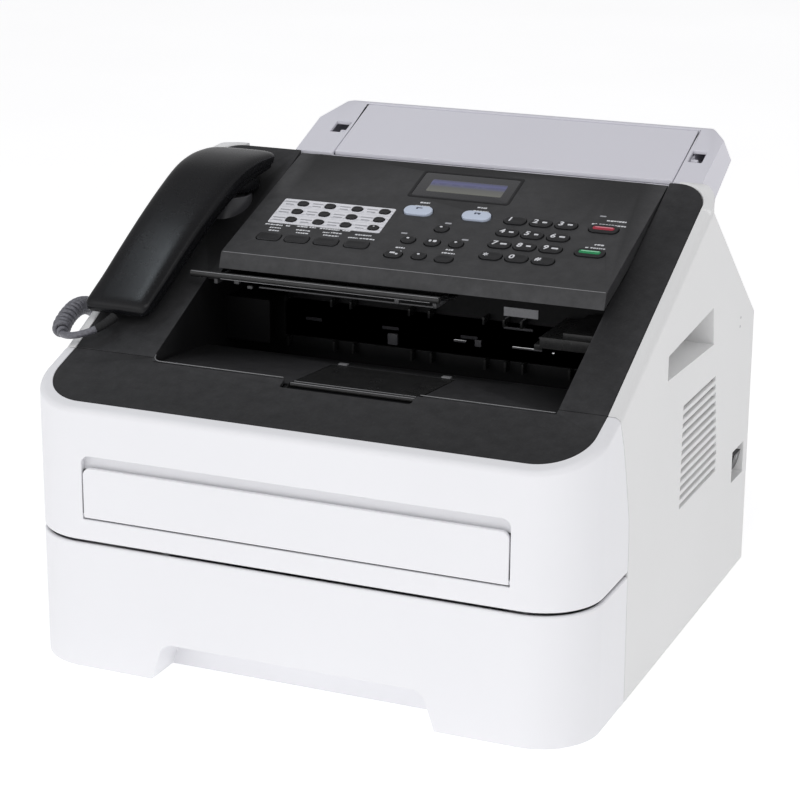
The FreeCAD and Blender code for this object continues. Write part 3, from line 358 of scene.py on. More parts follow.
world = bpy.data.worlds.new("studio")
scene.world = world
world.use_nodes = True
wt = world.node_tree
wt.nodes.clear()
w_out = wt.nodes.new("ShaderNodeOutputWorld")
w_bg = wt.nodes.new("ShaderNodeBackground")
w_tc = wt.nodes.new("ShaderNodeTexCoord")
w_dot = wt.nodes.new("ShaderNodeVectorMath")
w_dot.operation = "DOT_PRODUCT"
w_dot.inputs[1].default_value = Vector((-0.36, -0.85, 0.38)).normalized()
w_rmp = wt.nodes.new("ShaderNodeValToRGB")
e = w_rmp.color_ramp.elements
e[0].position, e[0].color = 0.0, (0.60, 0.60, 0.61, 1)
e[1].position, e[1].color = 1.0, (1.15, 1.15, 1.16, 1)
for at_, c_ in ((0.45, 0.62), (0.62, 0.47), (0.78, 0.47), (0.88, 0.85)):
    mid = e.new(at_)
    mid.color = (c_, c_, c_ + 0.01, 1)
w_map = wt.nodes.new("ShaderNodeMapRange")
w_map.inputs["From Min"].default_value, w_map.inputs["From Max"].default_value = -1.0, 1.0
for a, b in ((w_tc.outputs["Generated"], w_dot.inputs[0]), (w_dot.outputs["Value"], w_map.inputs["Value"]), (w_map.outputs[0], w_rmp.inputs[0]),
             (w_rmp.outputs[0], w_bg.inputs["Color"]), (w_bg.outputs[0], w_out.inputs[0])):
    wt.links.new(a, b)
w_bg.inputs["Strength"].default_value = 0.84


def area(name, at, aim, size, watts, rgb=(1, 1, 1)):
    li = bpy.data.lights.new(name, "AREA")
    li.shape = "RECTANGLE"
    li.size, li.size_y = size
    li.energy = watts
    li.color = rgb
    o = bpy.data.objects.new(name, li)
    scene.collection.objects.link(o)
    o.location = at
    o.rotation_euler = (Vector(aim) - Vector(at)).to_track_quat("-Z", "Y").to_euler()
    return o


area("key", (-1.3, -2.4, 1.5), (0, 0, 0.15), (1.8, 1.2), 4.3)
area("top_right", (1.5, -0.8, 2.2), (0, 0, 0.2), (1.3, 1.0), 6.5)
area("top_front", (0.6, -1.3, 2.3), (0, 0, 0.2), (1.0, 0.8), 5.5)
area("low_front", (-0.3, -2.0, 0.40), (0, 0, 0.19), (1.0, 0.3), 0.7)
glint = area("handset_glint", (-0.292, -0.086, 0.56), (-0.158, -0.092, 0.222), (0.10, 0.04), 0.10, (0.84, 0.93, 1.0))
glint.visible_camera = False


# ------------------------------------------------------------------ mesh tools
def add(name, verts, faces, mat, body, smooth=True, sharp=None, stands_for=(), mm=True):
    me = bpy.data.meshes.new(name)
    k = 0.001 if mm else 1.0
    me.from_pydata([(v[0] * k, v[1] * k, v[2] * k) for v in verts], [], faces)
    me.validate()
    bm = bmesh.new()
    bm.from_mesh(me)
    bmesh.ops.recalc_face_normals(bm, faces=bm.faces)
    for f in bm.faces:
        f.smooth = smooth
    if sharp:
        for ed in bm.edges:
            if len(ed.link_faces) == 2 and ed.calc_face_angle(0.0) > math.radians(sharp):
                ed.smooth = False
    bm.to_mesh(me)
    bm.free()
    me.materials.append(M[mat] if isinstance(mat, str) else mat)
    o = bpy.data.objects.new(name, me)
    scene.collection.objects.link(o)
    if body:
        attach(o, body)
    if stands_for:
        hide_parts(*stands_for)
    return o


def refine(node, mat=None, width=0.35, segs=2, angle=32.0, flat=0.7, merge=True, look=None):
    """The CAD part's own shape with its facets merged, its edges softened and its shading evened out."""
    src = nodes[node]
    slot = mat or SLOT[node]
    me = src.data.copy()
    me.name = node + "_skin"
    bm = bmesh.new()
    bm.from_mesh(me)
    bmesh.ops.remove_doubles(bm, verts=bm.verts, dist=4e-6)
    if merge:
        bmesh.ops.dissolve_limit(bm, angle_limit=math.radians(flat), use_dissolve_boundaries=False, verts=bm.verts, edges=bm.edges)
    for f in bm.faces:
        f.smooth = True
    for ed in bm.edges:
        sharp = len(ed.link_faces) == 2 and ed.calc_face_angle(0.0) > math.radians(angle)
        ed.smooth = not (sharp and width <= 0)
    bm.to_mesh(me)
    bm.free()
    for a in ("custom_normal", "sharp_face"):
        if a in me.attributes:
            me.attributes.remove(me.attributes[a])
    for p in me.polygons:
        p.use_smooth = True
    me.materials.clear()
    me.materials.append(M[look or slot])
    o = bpy.data.objects.new(node + "_skin", me)
    scene.collection.objects.link(o)
    if width > 0:
        b = o.modifiers.new("soft_edges", "BEVEL")
        b.width, b.segments, b.limit_method, b.angle_limit = width / 1000, segs, "ANGLE", math.radians(angle)
        b.use_clamp_overlap = False
        b.miter_outer = "MITER_ARC"
        w = o.modifiers.new("even_shading", "WEIGHTED_NORMAL")
        w.keep_sharp = False
        w.weight = 60
    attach(o, node_body[node])
    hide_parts(node)
    return o


def on_panel(x, v, n):
    return (x, -44 + v * pc - n * ps, 242 + v * ps + n * pc)


def rr(w, h, r, k=6):
    """Rounded rectangle, counter-clockwise."""
    r = max(0.05, min(r, w / 2 - 0.01, h / 2 - 0.01))
    pts = []
    for cx, cy, a0 in ((w / 2 - r, h / 2 - r, 0), (r - w / 2, h / 2 - r, 90), (r - w / 2, r - h / 2, 180), (w / 2 - r, r - h / 2, 270)):
        for i in range(k + 1):
            a = math.radians(a0 + 90 * i / k)
            pts.append((cx + r * math.cos(a), cy + r * math.sin(a)))
    return pts


def stack(rings):
    """Faces over rings of equal length, closed at both ends."""
    n = len(rings[0])
    verts = [p for ring in rings for p in ring]
    faces = []
    for j in range(len(rings) - 1):
        for i in range(n):
            a, b = j * n + i, j * n + (i + 1) % n
            faces.append((a, b, b + n, a + n))
    faces.append(tuple(range(n - 1, -1, -1)))
    faces.append(tuple(range((len(rings) - 1) * n, len(rings) * n)))
    return verts, faces


def cap(x, v, w, h, r, up, dish=0.0, base=-3.5, edge=0.55):
    """One key cap on the panel: straight skirt, rounded shoulder, slightly crowned or dished top."""
    prof = [(0.0, base), (0.0, up - edge), (edge * 0.12, up - edge * 0.5), (edge * 0.4, up - edge * 0.16), (edge, up - 0.02)]
    m = min(w, h) / 2
    for f in (0.45, 0.7, 0.92):
        i = edge + (m - edge) * f
        prof.append((i, up - 0.02 + dish * math.sin(f * math.pi / 2)))
    rings = []
    for i, n in prof:
        rings.append([on_panel(x + a, v + b, n) for a, b in rr(w - 2 * i, h - 2 * i, r - i)])
    return stack(rings)


def join(parts):
    verts, faces = [], []
    for v, f in parts:
        k = len(verts)
        verts += v
        faces += [tuple(i + k for i in q) for q in f]
    return verts, faces


def chip(x, v, w, h, n, r=0.25, t=0.06, slant=0.0):
    """A thin printed mark on the panel."""
    ring = lambda i, nn: [on_panel(x + a + b * slant, v + b, nn) for a, b in rr(w - 2 * i, h - 2 * i, r, 3)]
    return stack([ring(0, n), ring(0.02, n + t)])


def brick(x0, x1, y0, y1, z0, z1, c=0.4):
    """Block with chamfered edges."""
    cx, cy, cz = (x0 + x1) / 2, (y0 + y1) / 2, (z0 + z1) / 2
    hx, hy, hz = (x1 - x0) / 2, (y1 - y0) / 2, (z1 - z0) / 2
    bm = bmesh.new()
    bmesh.ops.create_cube(bm, size=2.0)
    for p in bm.verts:
        p.co = (cx + p.co.x * hx, cy + p.co.y * hy, cz + p.co.z * hz)
    bmesh.ops.bevel(bm, geom=list(bm.edges), offset=c, segments=2, profile=0.6, affect="EDGES", clamp_overlap=True)
    bm.verts.ensure_lookup_table()
    v = [tuple(p.co) for p in bm.verts]
    f = [tuple(q.index for q in face.verts) for face in bm.faces]
    bm.free()
    return v, f


def turned(prof, centre, k=40, axis="z"):
    """Solid of revolution about an upright or lengthwise axis; prof is (radius, height)."""
    rings = []
    for r, h in prof:
        ring = []
        for i in range(k):
            a = 2 * math.pi * i / k
            u, w = r * math.cos(a), r * math.sin(a)
            ring.append((centre[0] + u, centre[1] + w, centre[2] + h) if axis == "z" else (centre[0] + h, centre[1] + u, centre[2] + w))
        rings.append(ring)
    return stack(rings)


SLOT = {"right_side_cover": "side_white_plastic", "left_side_cover": "side_white_plastic", "rear_cover": "side_white_plastic", "rear_door": "side_white_plastic",
        "front_cover": "white_plastic", "manual_feed_door": "white_plastic", "paper_tray": "white_plastic", "front_cover_trim": "black_plastic",
        "top_deck": "black_plastic", "panel_cover": "black_plastic", "document_feeder_housing": "feeder_plastic", "document_lid": "feeder_plastic",
        "document_output_support": "recess_plastic", "output_flap": "recess_plastic", "panel_underframe": "recess_plastic", "chassis_frame": "steel",
        "rubber_feet": "rubber", "handset_jack": "grey_plastic", "power_inlet": "grey_plastic", "hook_switch": "key_plastic", "power_switch": "key_plastic",
        "tray_lift_plate": "steel", "paper_guide_left": "grey_plastic", "paper_guide_right": "grey_plastic", "pickup_roller": "roller_rubber",
        "exit_roller": "roller_rubber", "document_feed_roller": "roller_rubber", "toner_drum_unit": "grey_plastic", "laser_unit": "grey_plastic",
        "fuser_unit": "grey_plastic", "drive_gear": "gear_plastic", "gear_post": "steel", "circuit_board": "board"}

# ------------------------------------------------------------------ curly cord
ROUTE = [(-158, -103.2, 207.4), (-160, -111.5, 204.2), (-168, -119.0, 200.2), (-178.5, -122.0, 197.4), (-188, -118.5, 196.4),
         (-192.8, -110.0, 199.2), (-193.4, -99.5, 204.6), (-193.6, -86.0, 207.4), (-193.4, -71, 203.6), (-193.6, -55, 192.0),
         (-193.4, -40, 177.0), (-193.8, -22, 160.5), (-193.4, -2, 148.0), (-193.6, 20, 141.5), (-193.4, 42, 142.0),
         (-193.7, 62, 147.5), (-192.6, 80, 153.6), (-186.0, 90.6, 156.4), (-177.0, 92.2, 157.0)]


def route_line(points):
    """Points read from the route's own smooth spline, in metres."""
    cu = bpy.data.curves.new("cord_route", "CURVE")
    cu.dimensions = "3D"
    cu.resolution_u = 16
    sp = cu.splines.new("NURBS")
    sp.points.add(len(points) - 1)
    for p, q in zip(sp.points, points):
        p.co = (q[0] / 1000, q[1] / 1000, q[2] / 1000, 1.0)
    sp.order_u = 3
    sp.use_endpoint_u = True
    ob = bpy.data.objects.new("cord_route", cu)
    me = bpy.data.meshes.new_from_object(ob)
    line = np.array([tuple(v.co) for v in me.vertices])
    bpy.data.meshes.remove(me)
    bpy.data.objects.remove(ob)
    bpy.data.curves.remove(cu)
    return line


def even(line, step):
    s = np.concatenate([[0], np.cumsum(np.linalg.norm(np.diff(line, axis=0), axis=1))])
    t = np.linspace(0, s[-1], int(math.ceil(s[-1] / step)) + 1)
    return np.stack([np.interp(t, s, line[:, k]) for k in range(3)], axis=1), t


def carried(line):
    """Tangents and two cross directions carried along a line without twist."""
    tan = np.gradient(line, axis=0)
    tan /= np.linalg.norm(tan, axis=1)[:, None]
    n = np.cross(tan[0], (0.0, 0.0, 1.0))
    n /= np.linalg.norm(n)
    N = []
    for t in tan:
        n = n - t * np.dot(n, t)
        n /= np.linalg.norm(n)
        N.append(n.copy())
    N = np.array(N)
    return tan, N, np.cross(tan, N)


def tube(line, radii, k=10):
    tan, N, B = carried(line)
    rings = []
    for p, n, b, r in zip(line, N, B, radii):
        rings.append([tuple(p + r * (math.cos(2 * math.pi * i / k) * n + math.sin(2 * math.pi * i / k) * b)) for i in range(k)])
    return stack(rings)


def smoothstep(a, b, x):
    t = np.clip((x - a) / (b - a), 0, 1)
    return t * t * (3 - 2 * t)


axis_line, s_axis = even(route_line(ROUTE), 0.0002)
total = s_axis[-1]
s0, s1 = 0.0445, total - 0.030
WIRE, CR = 0.00165, 0.0045
_, An, Ab = carried(axis_line)
coil_r = CR * smoothstep(s0 - 0.004, s0 + 0.004, s_axis) * (1 - smoothstep(s1 - 0.003, s1 + 0.005, s_axis))
sag = 1 + 0.10 * np.sin(s_axis * 55 + 0.6) + 0.05 * np.sin(s_axis * 131)
pitch = 0.0039 * (1 + 0.32 * smoothstep(s0 + 0.035, s0 + 0.11, s_axis) * (1 - smoothstep(s1 - 0.05, s1, s_axis))) * sag
inside = smoothstep(s0 - 0.005, s0 - 0.001, s_axis) * (1 - smoothstep(s1 + 0.001, s1 + 0.006, s_axis))
phase = np.cumsum(inside / pitch) * (s_axis[1] - s_axis[0]) * 2 * math.pi
helix = axis_line + coil_r[:, None] * (np.cos(phase)[:, None] * An + np.sin(phase)[:, None] * Ab)
helix, s_h = even(helix, 0.00125)
lead = 1 - smoothstep(0.040, 0.046, s_h)
radii = WIRE + (0.0023 - WIRE) * lead + 0.0004 * smoothstep(s_h[-1] - 0.02, s_h[-1] - 0.012, s_h)
cv, cf = tube(helix, radii, 9)
cord = add("handset_curly_cord", cv, cf, "cord_plastic", None, mm=False)
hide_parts("handset_cord")
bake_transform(cord)
sleeve_line, s_sl = even(axis_line[s_axis < 0.015], 0.0006)
sr = 0.0031 - 0.0006 * (s_sl / s_sl[-1]) + 0.00022 * np.sin(s_sl / 0.0018 * 2 * math.pi)
sv, sf = tube(sleeve_line, sr, 16)
sleeve = add("handset_cord_sleeve", sv, sf, "rubber", "handset", mm=False)

# ------------------------------------------------------------------ white shells and covers
refine("front_cover", width=0.5)
refine("manual_feed_door", width=0.6)
refine("paper_tray", width=0.5)
refine("right_side_cover", width=0.4, merge=False)
refine("left_side_cover", width=0.4, merge=False)
refine("rear_cover", width=0.4, merge=False)
refine("rear_door", width=0.4)
refine("document_feeder_housing", width=0.6)
refine("document_lid", width=0.6)
refine("front_cover_trim", width=0.35)
refine("top_deck", width=0.35)
refine("panel_cover", width=0.28, look="panel_plastic")
refine("document_output_support", width=0.3)
refine("output_flap", width=0.3)
refine("panel_underframe", width=0.4)
for nd in ("chassis_frame", "rubber_feet", "handset_jack", "power_inlet", "hook_switch", "power_switch", "tray_lift_plate", "paper_guide_left",
           "paper_guide_right", "pickup_roller", "exit_roller", "document_feed_roller", "toner_drum_unit", "laser_unit", "fuser_unit",
           "drive_gear", "gear_post", "circuit_board"):
    refine(nd, width=0.25 if nd not in ("chassis_frame", "drive_gear", "circuit_board") else 0.0)

# ------------------------------------------------------------------ keys
digit = {"1": (64.7, 69), "2": (81.9, 69.2), "3": (98.9, 69.4), "4": (64.6, 54.4), "5": (81.3, 54.4), "6": (98.5, 54.6),
         "7": (64.5, 40.2), "8": (81.1, 40.4), "9": (98.3, 40.8), "star": (63.6, 26.4), "0": (80.7, 26.6), "hash": (98, 26.9)}
KEYS = [("key_" + k, [p], 14.8, 8.6, 4.2, 1.0) for k, p in digit.items()]
KEYS += [("key_stop", [(123.7, 69.3)], 19.5, 9.0, 4.3, 1.0), ("key_start", [(123.8, 41)], 19.5, 9.0, 4.3, 1.0),
         ("key_mode_fax", [(-2.1, 69.2)], 19.5, 10.0, 4.6, 1.6), ("key_mode_copy", [(38.1, 69.6)], 19.5, 10.0, 4.6, 1.6),
         ("key_ok", [(21, 34.8)], 10.5, 8.6, 4.2, 1.0), ("key_clear", [(1.3, 17)], 12, 8, 3.9, 1.0),
         ("key_menu", [(35.5, 17.6)], 12, 8, 3.9, 1.0),
         ("navigation_keys", [(21, 51.5), (4.5, 35), (37.0, 35.6), (18.4, 18)], 9.5, 8, 3.9, 1.0),
         ("function_keys", [(-88.2, 22.4), (-68.4, 22.8), (-47.9, 23.2), (-26.8, 23.8)], 16.5, 8.5, 3, 0.6),
         ("one_touch_keys", [(-82.4 + 19.5 * i, v) for v in (64.8, 54.8, 44.8) for i in range(4)], 7.2, 5.2, 2.55, 0.9)]
for label, spots, w, h, r, rise in KEYS:
    mode = label.startswith("key_mode")
    v, f = join([cap(x, y, w, h, r, rise, dish=(0.0 if mode else -0.12), edge=(0.8 if mode else 0.5)) for x, y in spots])
    slot = "mode_key_plastic" if mode else "key_plastic"
    add(label + "_caps", v, f, slot, label, stands_for=[label])


def glyph(text, x, v, n, size, slant=0.0, stretch=1.0):
    """A numeral as a thin print lying on the panel."""
    cu = bpy.data.curves.new("glyph", "FONT")
    cu.body = text
    cu.size = size
    cu.align_x, cu.align_y = "CENTER", "CENTER"
    cu.offset = 0.17
    cu.extrude = 0.03
    cu.resolution_u = 4
    ob = bpy.data.objects.new("glyph", cu)
    scene.collection.objects.link(ob)
    bpy.context.view_layer.update()
    me = bpy.data.meshes.new_from_object(ob.evaluated_get(bpy.context.evaluated_depsgraph_get()))
    vs = [on_panel(x + q.co.x * stretch + q.co.y * slant, v + q.co.y, n + q.co.z) for q in me.vertices]
    fs = [tuple(p.vertices) for p in me.polygons]
    bpy.data.meshes.remove(me)
    bpy.data.objects.remove(ob)
    bpy.data.curves.remove(cu)
    return vs, fs


for k, (x, y) in digit.items():
    parts = []
    if k == "star":
        for i in range(3):
            a = math.radians(60 * i + 30)
            ring = lambda q, n: [on_panel(x - 3.4 + u * math.cos(a) - w2 * math.sin(a), y + 0.5 + u * math.sin(a) + w2 * math.cos(a), n) for u, w2 in rr(3.6 - q, 0.62 - q * 0.5, 0.2, 2)]
            parts.append(stack([ring(0, 0.84), ring(0.02, 1.03)]))
    else:
        parts.append(glyph("#" if k == "hash" else k, x - 3.3, y + 0.4, 1.0, 6.0 if k != "hash" else 5.0, slant=0.12, stretch=1.16))
    if k not in ("1", "star", "0", "hash"):
        wide = {"2": 3.2, "3": 3.4, "4": 3.2, "5": 2.8, "6": 3.8, "7": 4.4, "8": 3.2, "9": 4.4}[k]
        parts.append(chip(x + 2.7, y + 0.2, wide, 1.5, 0.86, 0.3, 0.16))
    v, f = join(parts)
    add("mark_" + k, v, f, "ink_white", "key_" + k, smooth=False)

for label, ink, light in (("key_stop", "ink_red", lin(238, 150, 165)), ("key_start", "ink_green", lin(160, 230, 190))):
    x, y = [k for k in KEYS if k[0] == label][0][1][0]
    v, f = cap(x, y, 14.2, 3.6, 1.5, 1.22, 0.12, base=0.7, edge=0.5)
    add(label + "_bar", v, f, ink, label)
    # the pale stripe on each coloured lens is a painted highlight of the lens's crown
    lens_highlight_ink = printed(label + "_painted_highlight", light, 0.3)
    v, f = chip(x + 0.3, y + 0.6, 11.8, 0.95, 1.26, 0.35, 0.08)
    add(label + "_glint", v, f, lens_highlight_ink, label)

for label, icon in (("key_mode_fax", 0), ("key_mode_copy", 1)):
    x, y = [k for k in KEYS if k[0] == label][0][1][0]
    parts = [chip(x + 0.2, y + 2.1, 4.2, 1.0, 1.5, 0.2, 0.12), chip(x - 1.2, y + 1.2, 1.4, 1.2, 1.5, 0.2, 0.12)]
    if icon:
        parts.append(chip(x + 1.4, y + 1.2, 1.4, 1.4, 1.5, 0.2, 0.12))
    v, f = join(parts)
    add(label + "_icon", v, f, "ink_dark", label, smooth=False)

dots = []
for x, y in KEYS[-3][1]:
    dots.append(chip(x - 0.6, y + 1.2, 1.9, 1.5, 0.9, 0.7, 0.13))
v, f = join(dots)
add("navigation_marks", v, f, "ink_white", "navigation_keys", smooth=False)
v, f = join([chip(21 - 1.6, 35.6, 1.8, 2.2, 0.88, 0.8, 0.14), chip(21 + 1.6, 35.6, 2.4, 2.2, 0.88, 0.4, 0.14)])
add("key_ok_mark", v, f, "ink_white", "key_ok", smooth=False)
v, f = join([chip(0.6, 17.8, 3.6, 1.7, 0.88, 0.5, 0.14), chip(3.6, 16.8, 1.8, 1.6, 0.88, 0.5, 0.14)])
add("key_clear_mark", v, f, "ink_white", "key_clear", smooth=False)
v, f = chip(-82.4 + 19.5 * 3 + 0.2, 45.6, 1.2, 1.0, 0.84, 0.4, 0.1)
add("one_touch_mark", v, f, "ink_white", "one_touch_keys", smooth=False)

# printed legends: rows of short dashes, no lettering
LEG = [(-97.3, -84.6, 36.9, 1.9), (-82.6, -79.2, 37.1, 1.9), (-92.6, -84.6, 33.4, 1.7), (-91.8, -84.7, 30.1, 1.7),
       (-74.8, -67.4, 37.8, 1.9), (-66.2, -61.5, 38.1, 1.9), (-73.8, -63.4, 33.6, 1.7), (-72.4, -63.5, 30.4, 1.7),
       (-58.7, -44.8, 38.0, 1.9), (-42.8, -37.3, 38.3, 1.9), (-54.9, -50.2, 34.0, 1.7), (-49.2, -41.4, 34.4, 1.7), (-53.3, -42.3, 30.8, 1.7),
       (-32.5, -20.5, 35.2, 1.9), (-35.6, -28.8, 31.0, 1.7), (-27.8, -17.4, 31.3, 1.7),
       (-0.3, 6.0, 25.4, 2.0), (-0.9, 5.8, 21.5, 1.7),
       (-5.0, 1.6, 80.4, 2.0), (-7.0, -3.4, 76.2, 1.6), (-2.6, 3.6, 76.2, 1.6), (34.6, 41.2, 80.8, 2.0), (33.2, 43.6, 76.6, 1.6),
       (122.4, 135.4, 80.0, 1.9), (114.2, 117.6, 74.8, 2.2), (118.8, 136.8, 74.9, 1.8),
       (123.6, 130.2, 51.2, 1.9), (118.8, 121.4, 47.2, 1.8), (122.2, 131.8, 47.3, 1.7),
       (32.6, 38.2, 28.7, 2.0), (31.4, 40.2, 24.8, 1.7)]
parts = []
rng = np.random.default_rng(7)
for x0, x1, v0, hh in LEG:
    x = x0
    while x < x1 - 0.4:
        w = min(float(rng.uniform(0.9, 2.2)), x1 - x)
        drop = float(rng.uniform(-0.12, 0.12))
        parts.append(chip(x + w / 2, v0 + drop, w, hh * float(rng.uniform(0.62, 0.86)), -0.03, 0.25, 0.06, 0.1))
        x += w + float(rng.uniform(0.22, 0.42))
v, f = join(parts)
add("panel_legends", v, f, "ink_white", "panel", smooth=False)
sym = [chip(22.8, 58.8, 4.6, 1.7, -0.03, 0.7, 0.06), chip(-1.2, 42.4, 4.4, 1.6, -0.03, 0.7, 0.06), chip(40.8, 41.8, 4.6, 1.7, -0.03, 0.7, 0.06),
       chip(118.5, 84.6, 4.4, 1.4, -0.03, 0.6, 0.05)]
v, f = join(sym)
add("panel_symbols", v, f, "ink_pale", "panel", smooth=False)

# paper label with its cut-outs keeps the CAD outline
refine("one_touch_label", "label_card", width=0.0)
marks = []
for row in (64.8, 54.8, 44.8):
    for i in range(4):
        x = -82.4 + 19.5 * i
        for dv, w in ((1.5, 9.0), (-1.6, 7.6)):
            marks.append(chip(x - 9.2, row + dv, w * float(rng.uniform(0.75, 1.0)), 1.0, -0.055, 0.2, 0.03))
v, f = join(marks)
add("one_touch_writing", v, f, "ink_grey", "panel", smooth=False)

# display: glossy window with the liquid-crystal pane behind it
rings = [[on_panel(18.25 + a, 103.3 + b, n) for a, b in rr(67.1 - 2 * i, 29.8 - 2 * i, 1.8 - i)] for i, n in ((0.0, -1.0), (0.0, -0.22), (0.15, -0.08), (0.4, -0.05))]
v, f = stack(rings)
add("display_bezel", v, f, "display_glass", "panel", sharp=30, stands_for=["display_window"])
rings = [[on_panel(19.0 + a, 102.7 + b, n) for a, b in rr(52.6 - 2 * i, 15.2 - 2 * i, 1.0)] for i, n in ((0.0, -0.06), (0.3, 0.02), (0.6, 0.03))]
v, f = stack(rings)
add("display_pane", v, f, "lcd", "panel", sharp=30)
rim = [[on_panel(18.25 + a, 103.3 + b, n) for a, b in rr(71.5 - 2 * i, 34.5 - 2 * i, 2.4)] for i, n in ((0.0, -0.02), (0.5, 0.14), (1.9, 0.16))]
inner_rim = [[on_panel(18.25 + a, 103.3 + b, n) for a, b in rr(67.3, 30.0, 1.9)] for n in (0.1, -0.06)]
n_r = len(rim[0])
rv = [p for ring in rim + inner_rim for p in ring]
rf = [(j * n_r + i, j * n_r + (i + 1) % n_r, (j + 1) * n_r + (i + 1) % n_r, (j + 1) * n_r + i) for j in range(4) for i in range(n_r)]
add("display_surround", rv, rf, "black_plastic", "panel", sharp=40)

# ------------------------------------------------------------------ handset
ST = [(-103.0, 213.6, 9.4, -181.2, -136.0, 30), (-97.0, 219.2, 12.6, -180.6, -135.4, 36), (-82.0, 229.8, 14.5, -179.0, -133.4, 37),
      (-62.0, 244.6, 15.5, -177.0, -130.6, 37), (-39.0, 260.8, 16, -174.8, -127.4, 34), (-16.0, 275.6, 16.5, -172.6, -124.0, 31),
      (4.0, 286.2, 17, -171.0, -120.8, 20), (22.0, 290.5, 16.5, -170.2, -119.2, 7), (42.0, 290.8, 14, -169.6, -118.4, -4),
      (56.0, 289.0, 10.5, -169, -118.6, -12)]
st = np.array(ST)


def station(y):
    """Smooth value of every station figure at y."""
    i = int(np.clip(np.searchsorted(st[:, 0], y) - 1, 0, len(st) - 2))
    h = st[i + 1, 0] - st[i, 0]
    t = (y - st[i, 0]) / h

    def slope(k):
        a, b = max(0, k - 1), min(len(st) - 1, k + 1)
        return (st[b] - st[a]) / (st[b, 0] - st[a, 0])

    m0, m1 = slope(i), slope(i + 1)
    return (2 * t ** 3 - 3 * t * t + 1) * st[i] + (t ** 3 - 2 * t * t + t) * h * m0 + (3 * t * t - 2 * t ** 3) * st[i + 1] + (t ** 3 - t * t) * h * m1


def shell(upper, y0, y1, steps, parting=0.62, shrink=0.0):
    rings = []
    ends_lo, ends_hi = 4.5, 10.0
    ys = list(y0 + (np.linspace(0, 1, 7) ** 1.6) * 6.0) + list(np.linspace(y0 + 6.6, y1 - 11.5, steps)) + list(y1 - 11.0 * (np.linspace(1, 0, 12) ** 1.6))
    for y in ys:
        _, zt, th, xl, xr, sl = station(y)
        a = math.radians(sl)
        nv = np.array((0, -math.sin(a), math.cos(a)))
        xc, hw = (xl + xr) / 2, (xr - xl) / 2 - shrink
        # corners rounded in plan at both ends
        d0, d1 = y - y0, y1 - y
        if d0 < ends_lo:
            hw -= ends_lo * (1 - math.sqrt(max(0.0, 1 - ((ends_lo - d0) / ends_lo) ** 2)))
        if d1 < ends_hi:
            hw -= ends_hi * (1 - math.sqrt(max(0.0, 1 - ((ends_hi - d1) / ends_hi) ** 2)))
        close = 0.0
        if d0 < 3.0:
            close = 0.34 * th * (1 - math.sqrt(max(0.0, 1 - ((3.0 - d0) / 3.0) ** 2)))
        if d1 < 4.5:
            close = max(close, 0.34 * th * (1 - math.sqrt(max(0.0, 1 - ((4.5 - d1) / 4.5) ** 2))))
        ring = []
        k = 26
        if upper:
            depth = parting * th - 0.18
            for i in range(k + 1):
                q = math.pi * i / k
                cx = math.copysign(abs(math.cos(q)) ** (2 / 5.2), math.cos(q))
                sz = abs(math.sin(q)) ** (2 / 2.6)
                top_h = -close - (1 - sz) * (depth * 0.52 - close * 0.4)
                ring.append((cx * hw, top_h))
            ring += [(-hw, -depth + 0.5), (-hw + 0.5, -depth), (hw - 0.5, -depth), (hw, -depth + 0.5)]
        else:
            depth = parting * th + 0.18
            low = th - close
            for i in range(k + 1):
                q = math.pi * i / k
                cx = math.copysign(abs(math.cos(q)) ** (2 / 5.5), math.cos(q))
                sz = abs(math.sin(q)) ** (2 / 3.0)
                ring.append((cx * hw, -depth - 0.6 - (low - depth - 0.6) * sz))
            ring += [(-hw, -depth - 0.3), (-hw + 0.4, -depth), (hw - 0.4, -depth), (hw, -depth - 0.3)]
        rings.append([tuple(np.array((xc + u, y, zt)) + nv * h) for u, h in ring])
    return stack(rings)


v, f = shell(True, -102.9, 55.9, 72)
add("handset_back", v, f, "handset_plastic", "handset", sharp=50, stands_for=["handset_outer_shell"])
body_in = shell(False, -101.6, 54.4, 62, shrink=1.0)
def deck_z(y):
    return 190.5 + (y + 121) * 0.4832


cup_v, cup_f = turned([(0.1, 11.0), (19.6, 11.0), (20.4, 6.5), (20.5, 3.2), (20.1, 1.5), (19.2, 0.5), (17.6, 0.05), (15.0, 0.0), (11.5, 0.1), (10.2, 0.6), (9.4, 2.0), (0.1, 2.6)],
                      (-143.5, 30.0, 266.0), 72)
cup = ([(x, y, max(z, deck_z(y) + 1.5 + 0.06 * max(0.0, z - 266.0))) for x, y, z in cup_v], cup_f)
mouth = []
for i, z in ((0.0, 0.0), (0.8, -1.0)):
    pass
mouth_v, mouth_f = [], []
m_rings = []
for f_ in np.linspace(0, 1, 9):
    y = -96.5 + 24.5 * f_
    _, zt, th, xl, xr, sl = station(y)
    a = math.radians(sl)
    drop = 0.4 + 1.9 * math.sin(math.pi * f_) ** 0.6
    yy, zz = y + math.sin(a) * th, zt - math.cos(a) * th
    m_rings.append([(-158 + 13.5 * math.cos(q), yy - 8.0 * (1 - 0) * 0 + 0, zz + 1.5 - (drop + 1.5) * max(0.0, math.sin(q)) ** 0.5) for q in np.linspace(0, math.pi, 15)])
mv = [p for ring in m_rings for p in ring]
mn = len(m_rings[0])
mf = [(j * mn + i, j * mn + i + 1, (j + 1) * mn + i + 1, (j + 1) * mn + i) for j in range(8) for i in range(mn - 1)]
v, f = join([body_in, cup, (mv, mf)])
add("handset_front", v, f, "handset_plastic", "handset", sharp=50, stands_for=["handset_inner_shell"])
holes_ = []
for rr_, cnt in ((0, 1), (3.4, 6), (6.8, 12)):
    for i in range(cnt):
        a = 2 * math.pi * i / max(1, cnt)
        holes_.append(turned([(0.05, -0.35), (0.95, -0.35), (0.95, 0.2), (0.05, 0.2)], (-143.5 + rr_ * math.cos(a), 24.0 + rr_ * math.sin(a), 268.6), 12))
v, f = join(holes_)
add("earpiece_holes", v, f, "rubber", "handset", sharp=40)

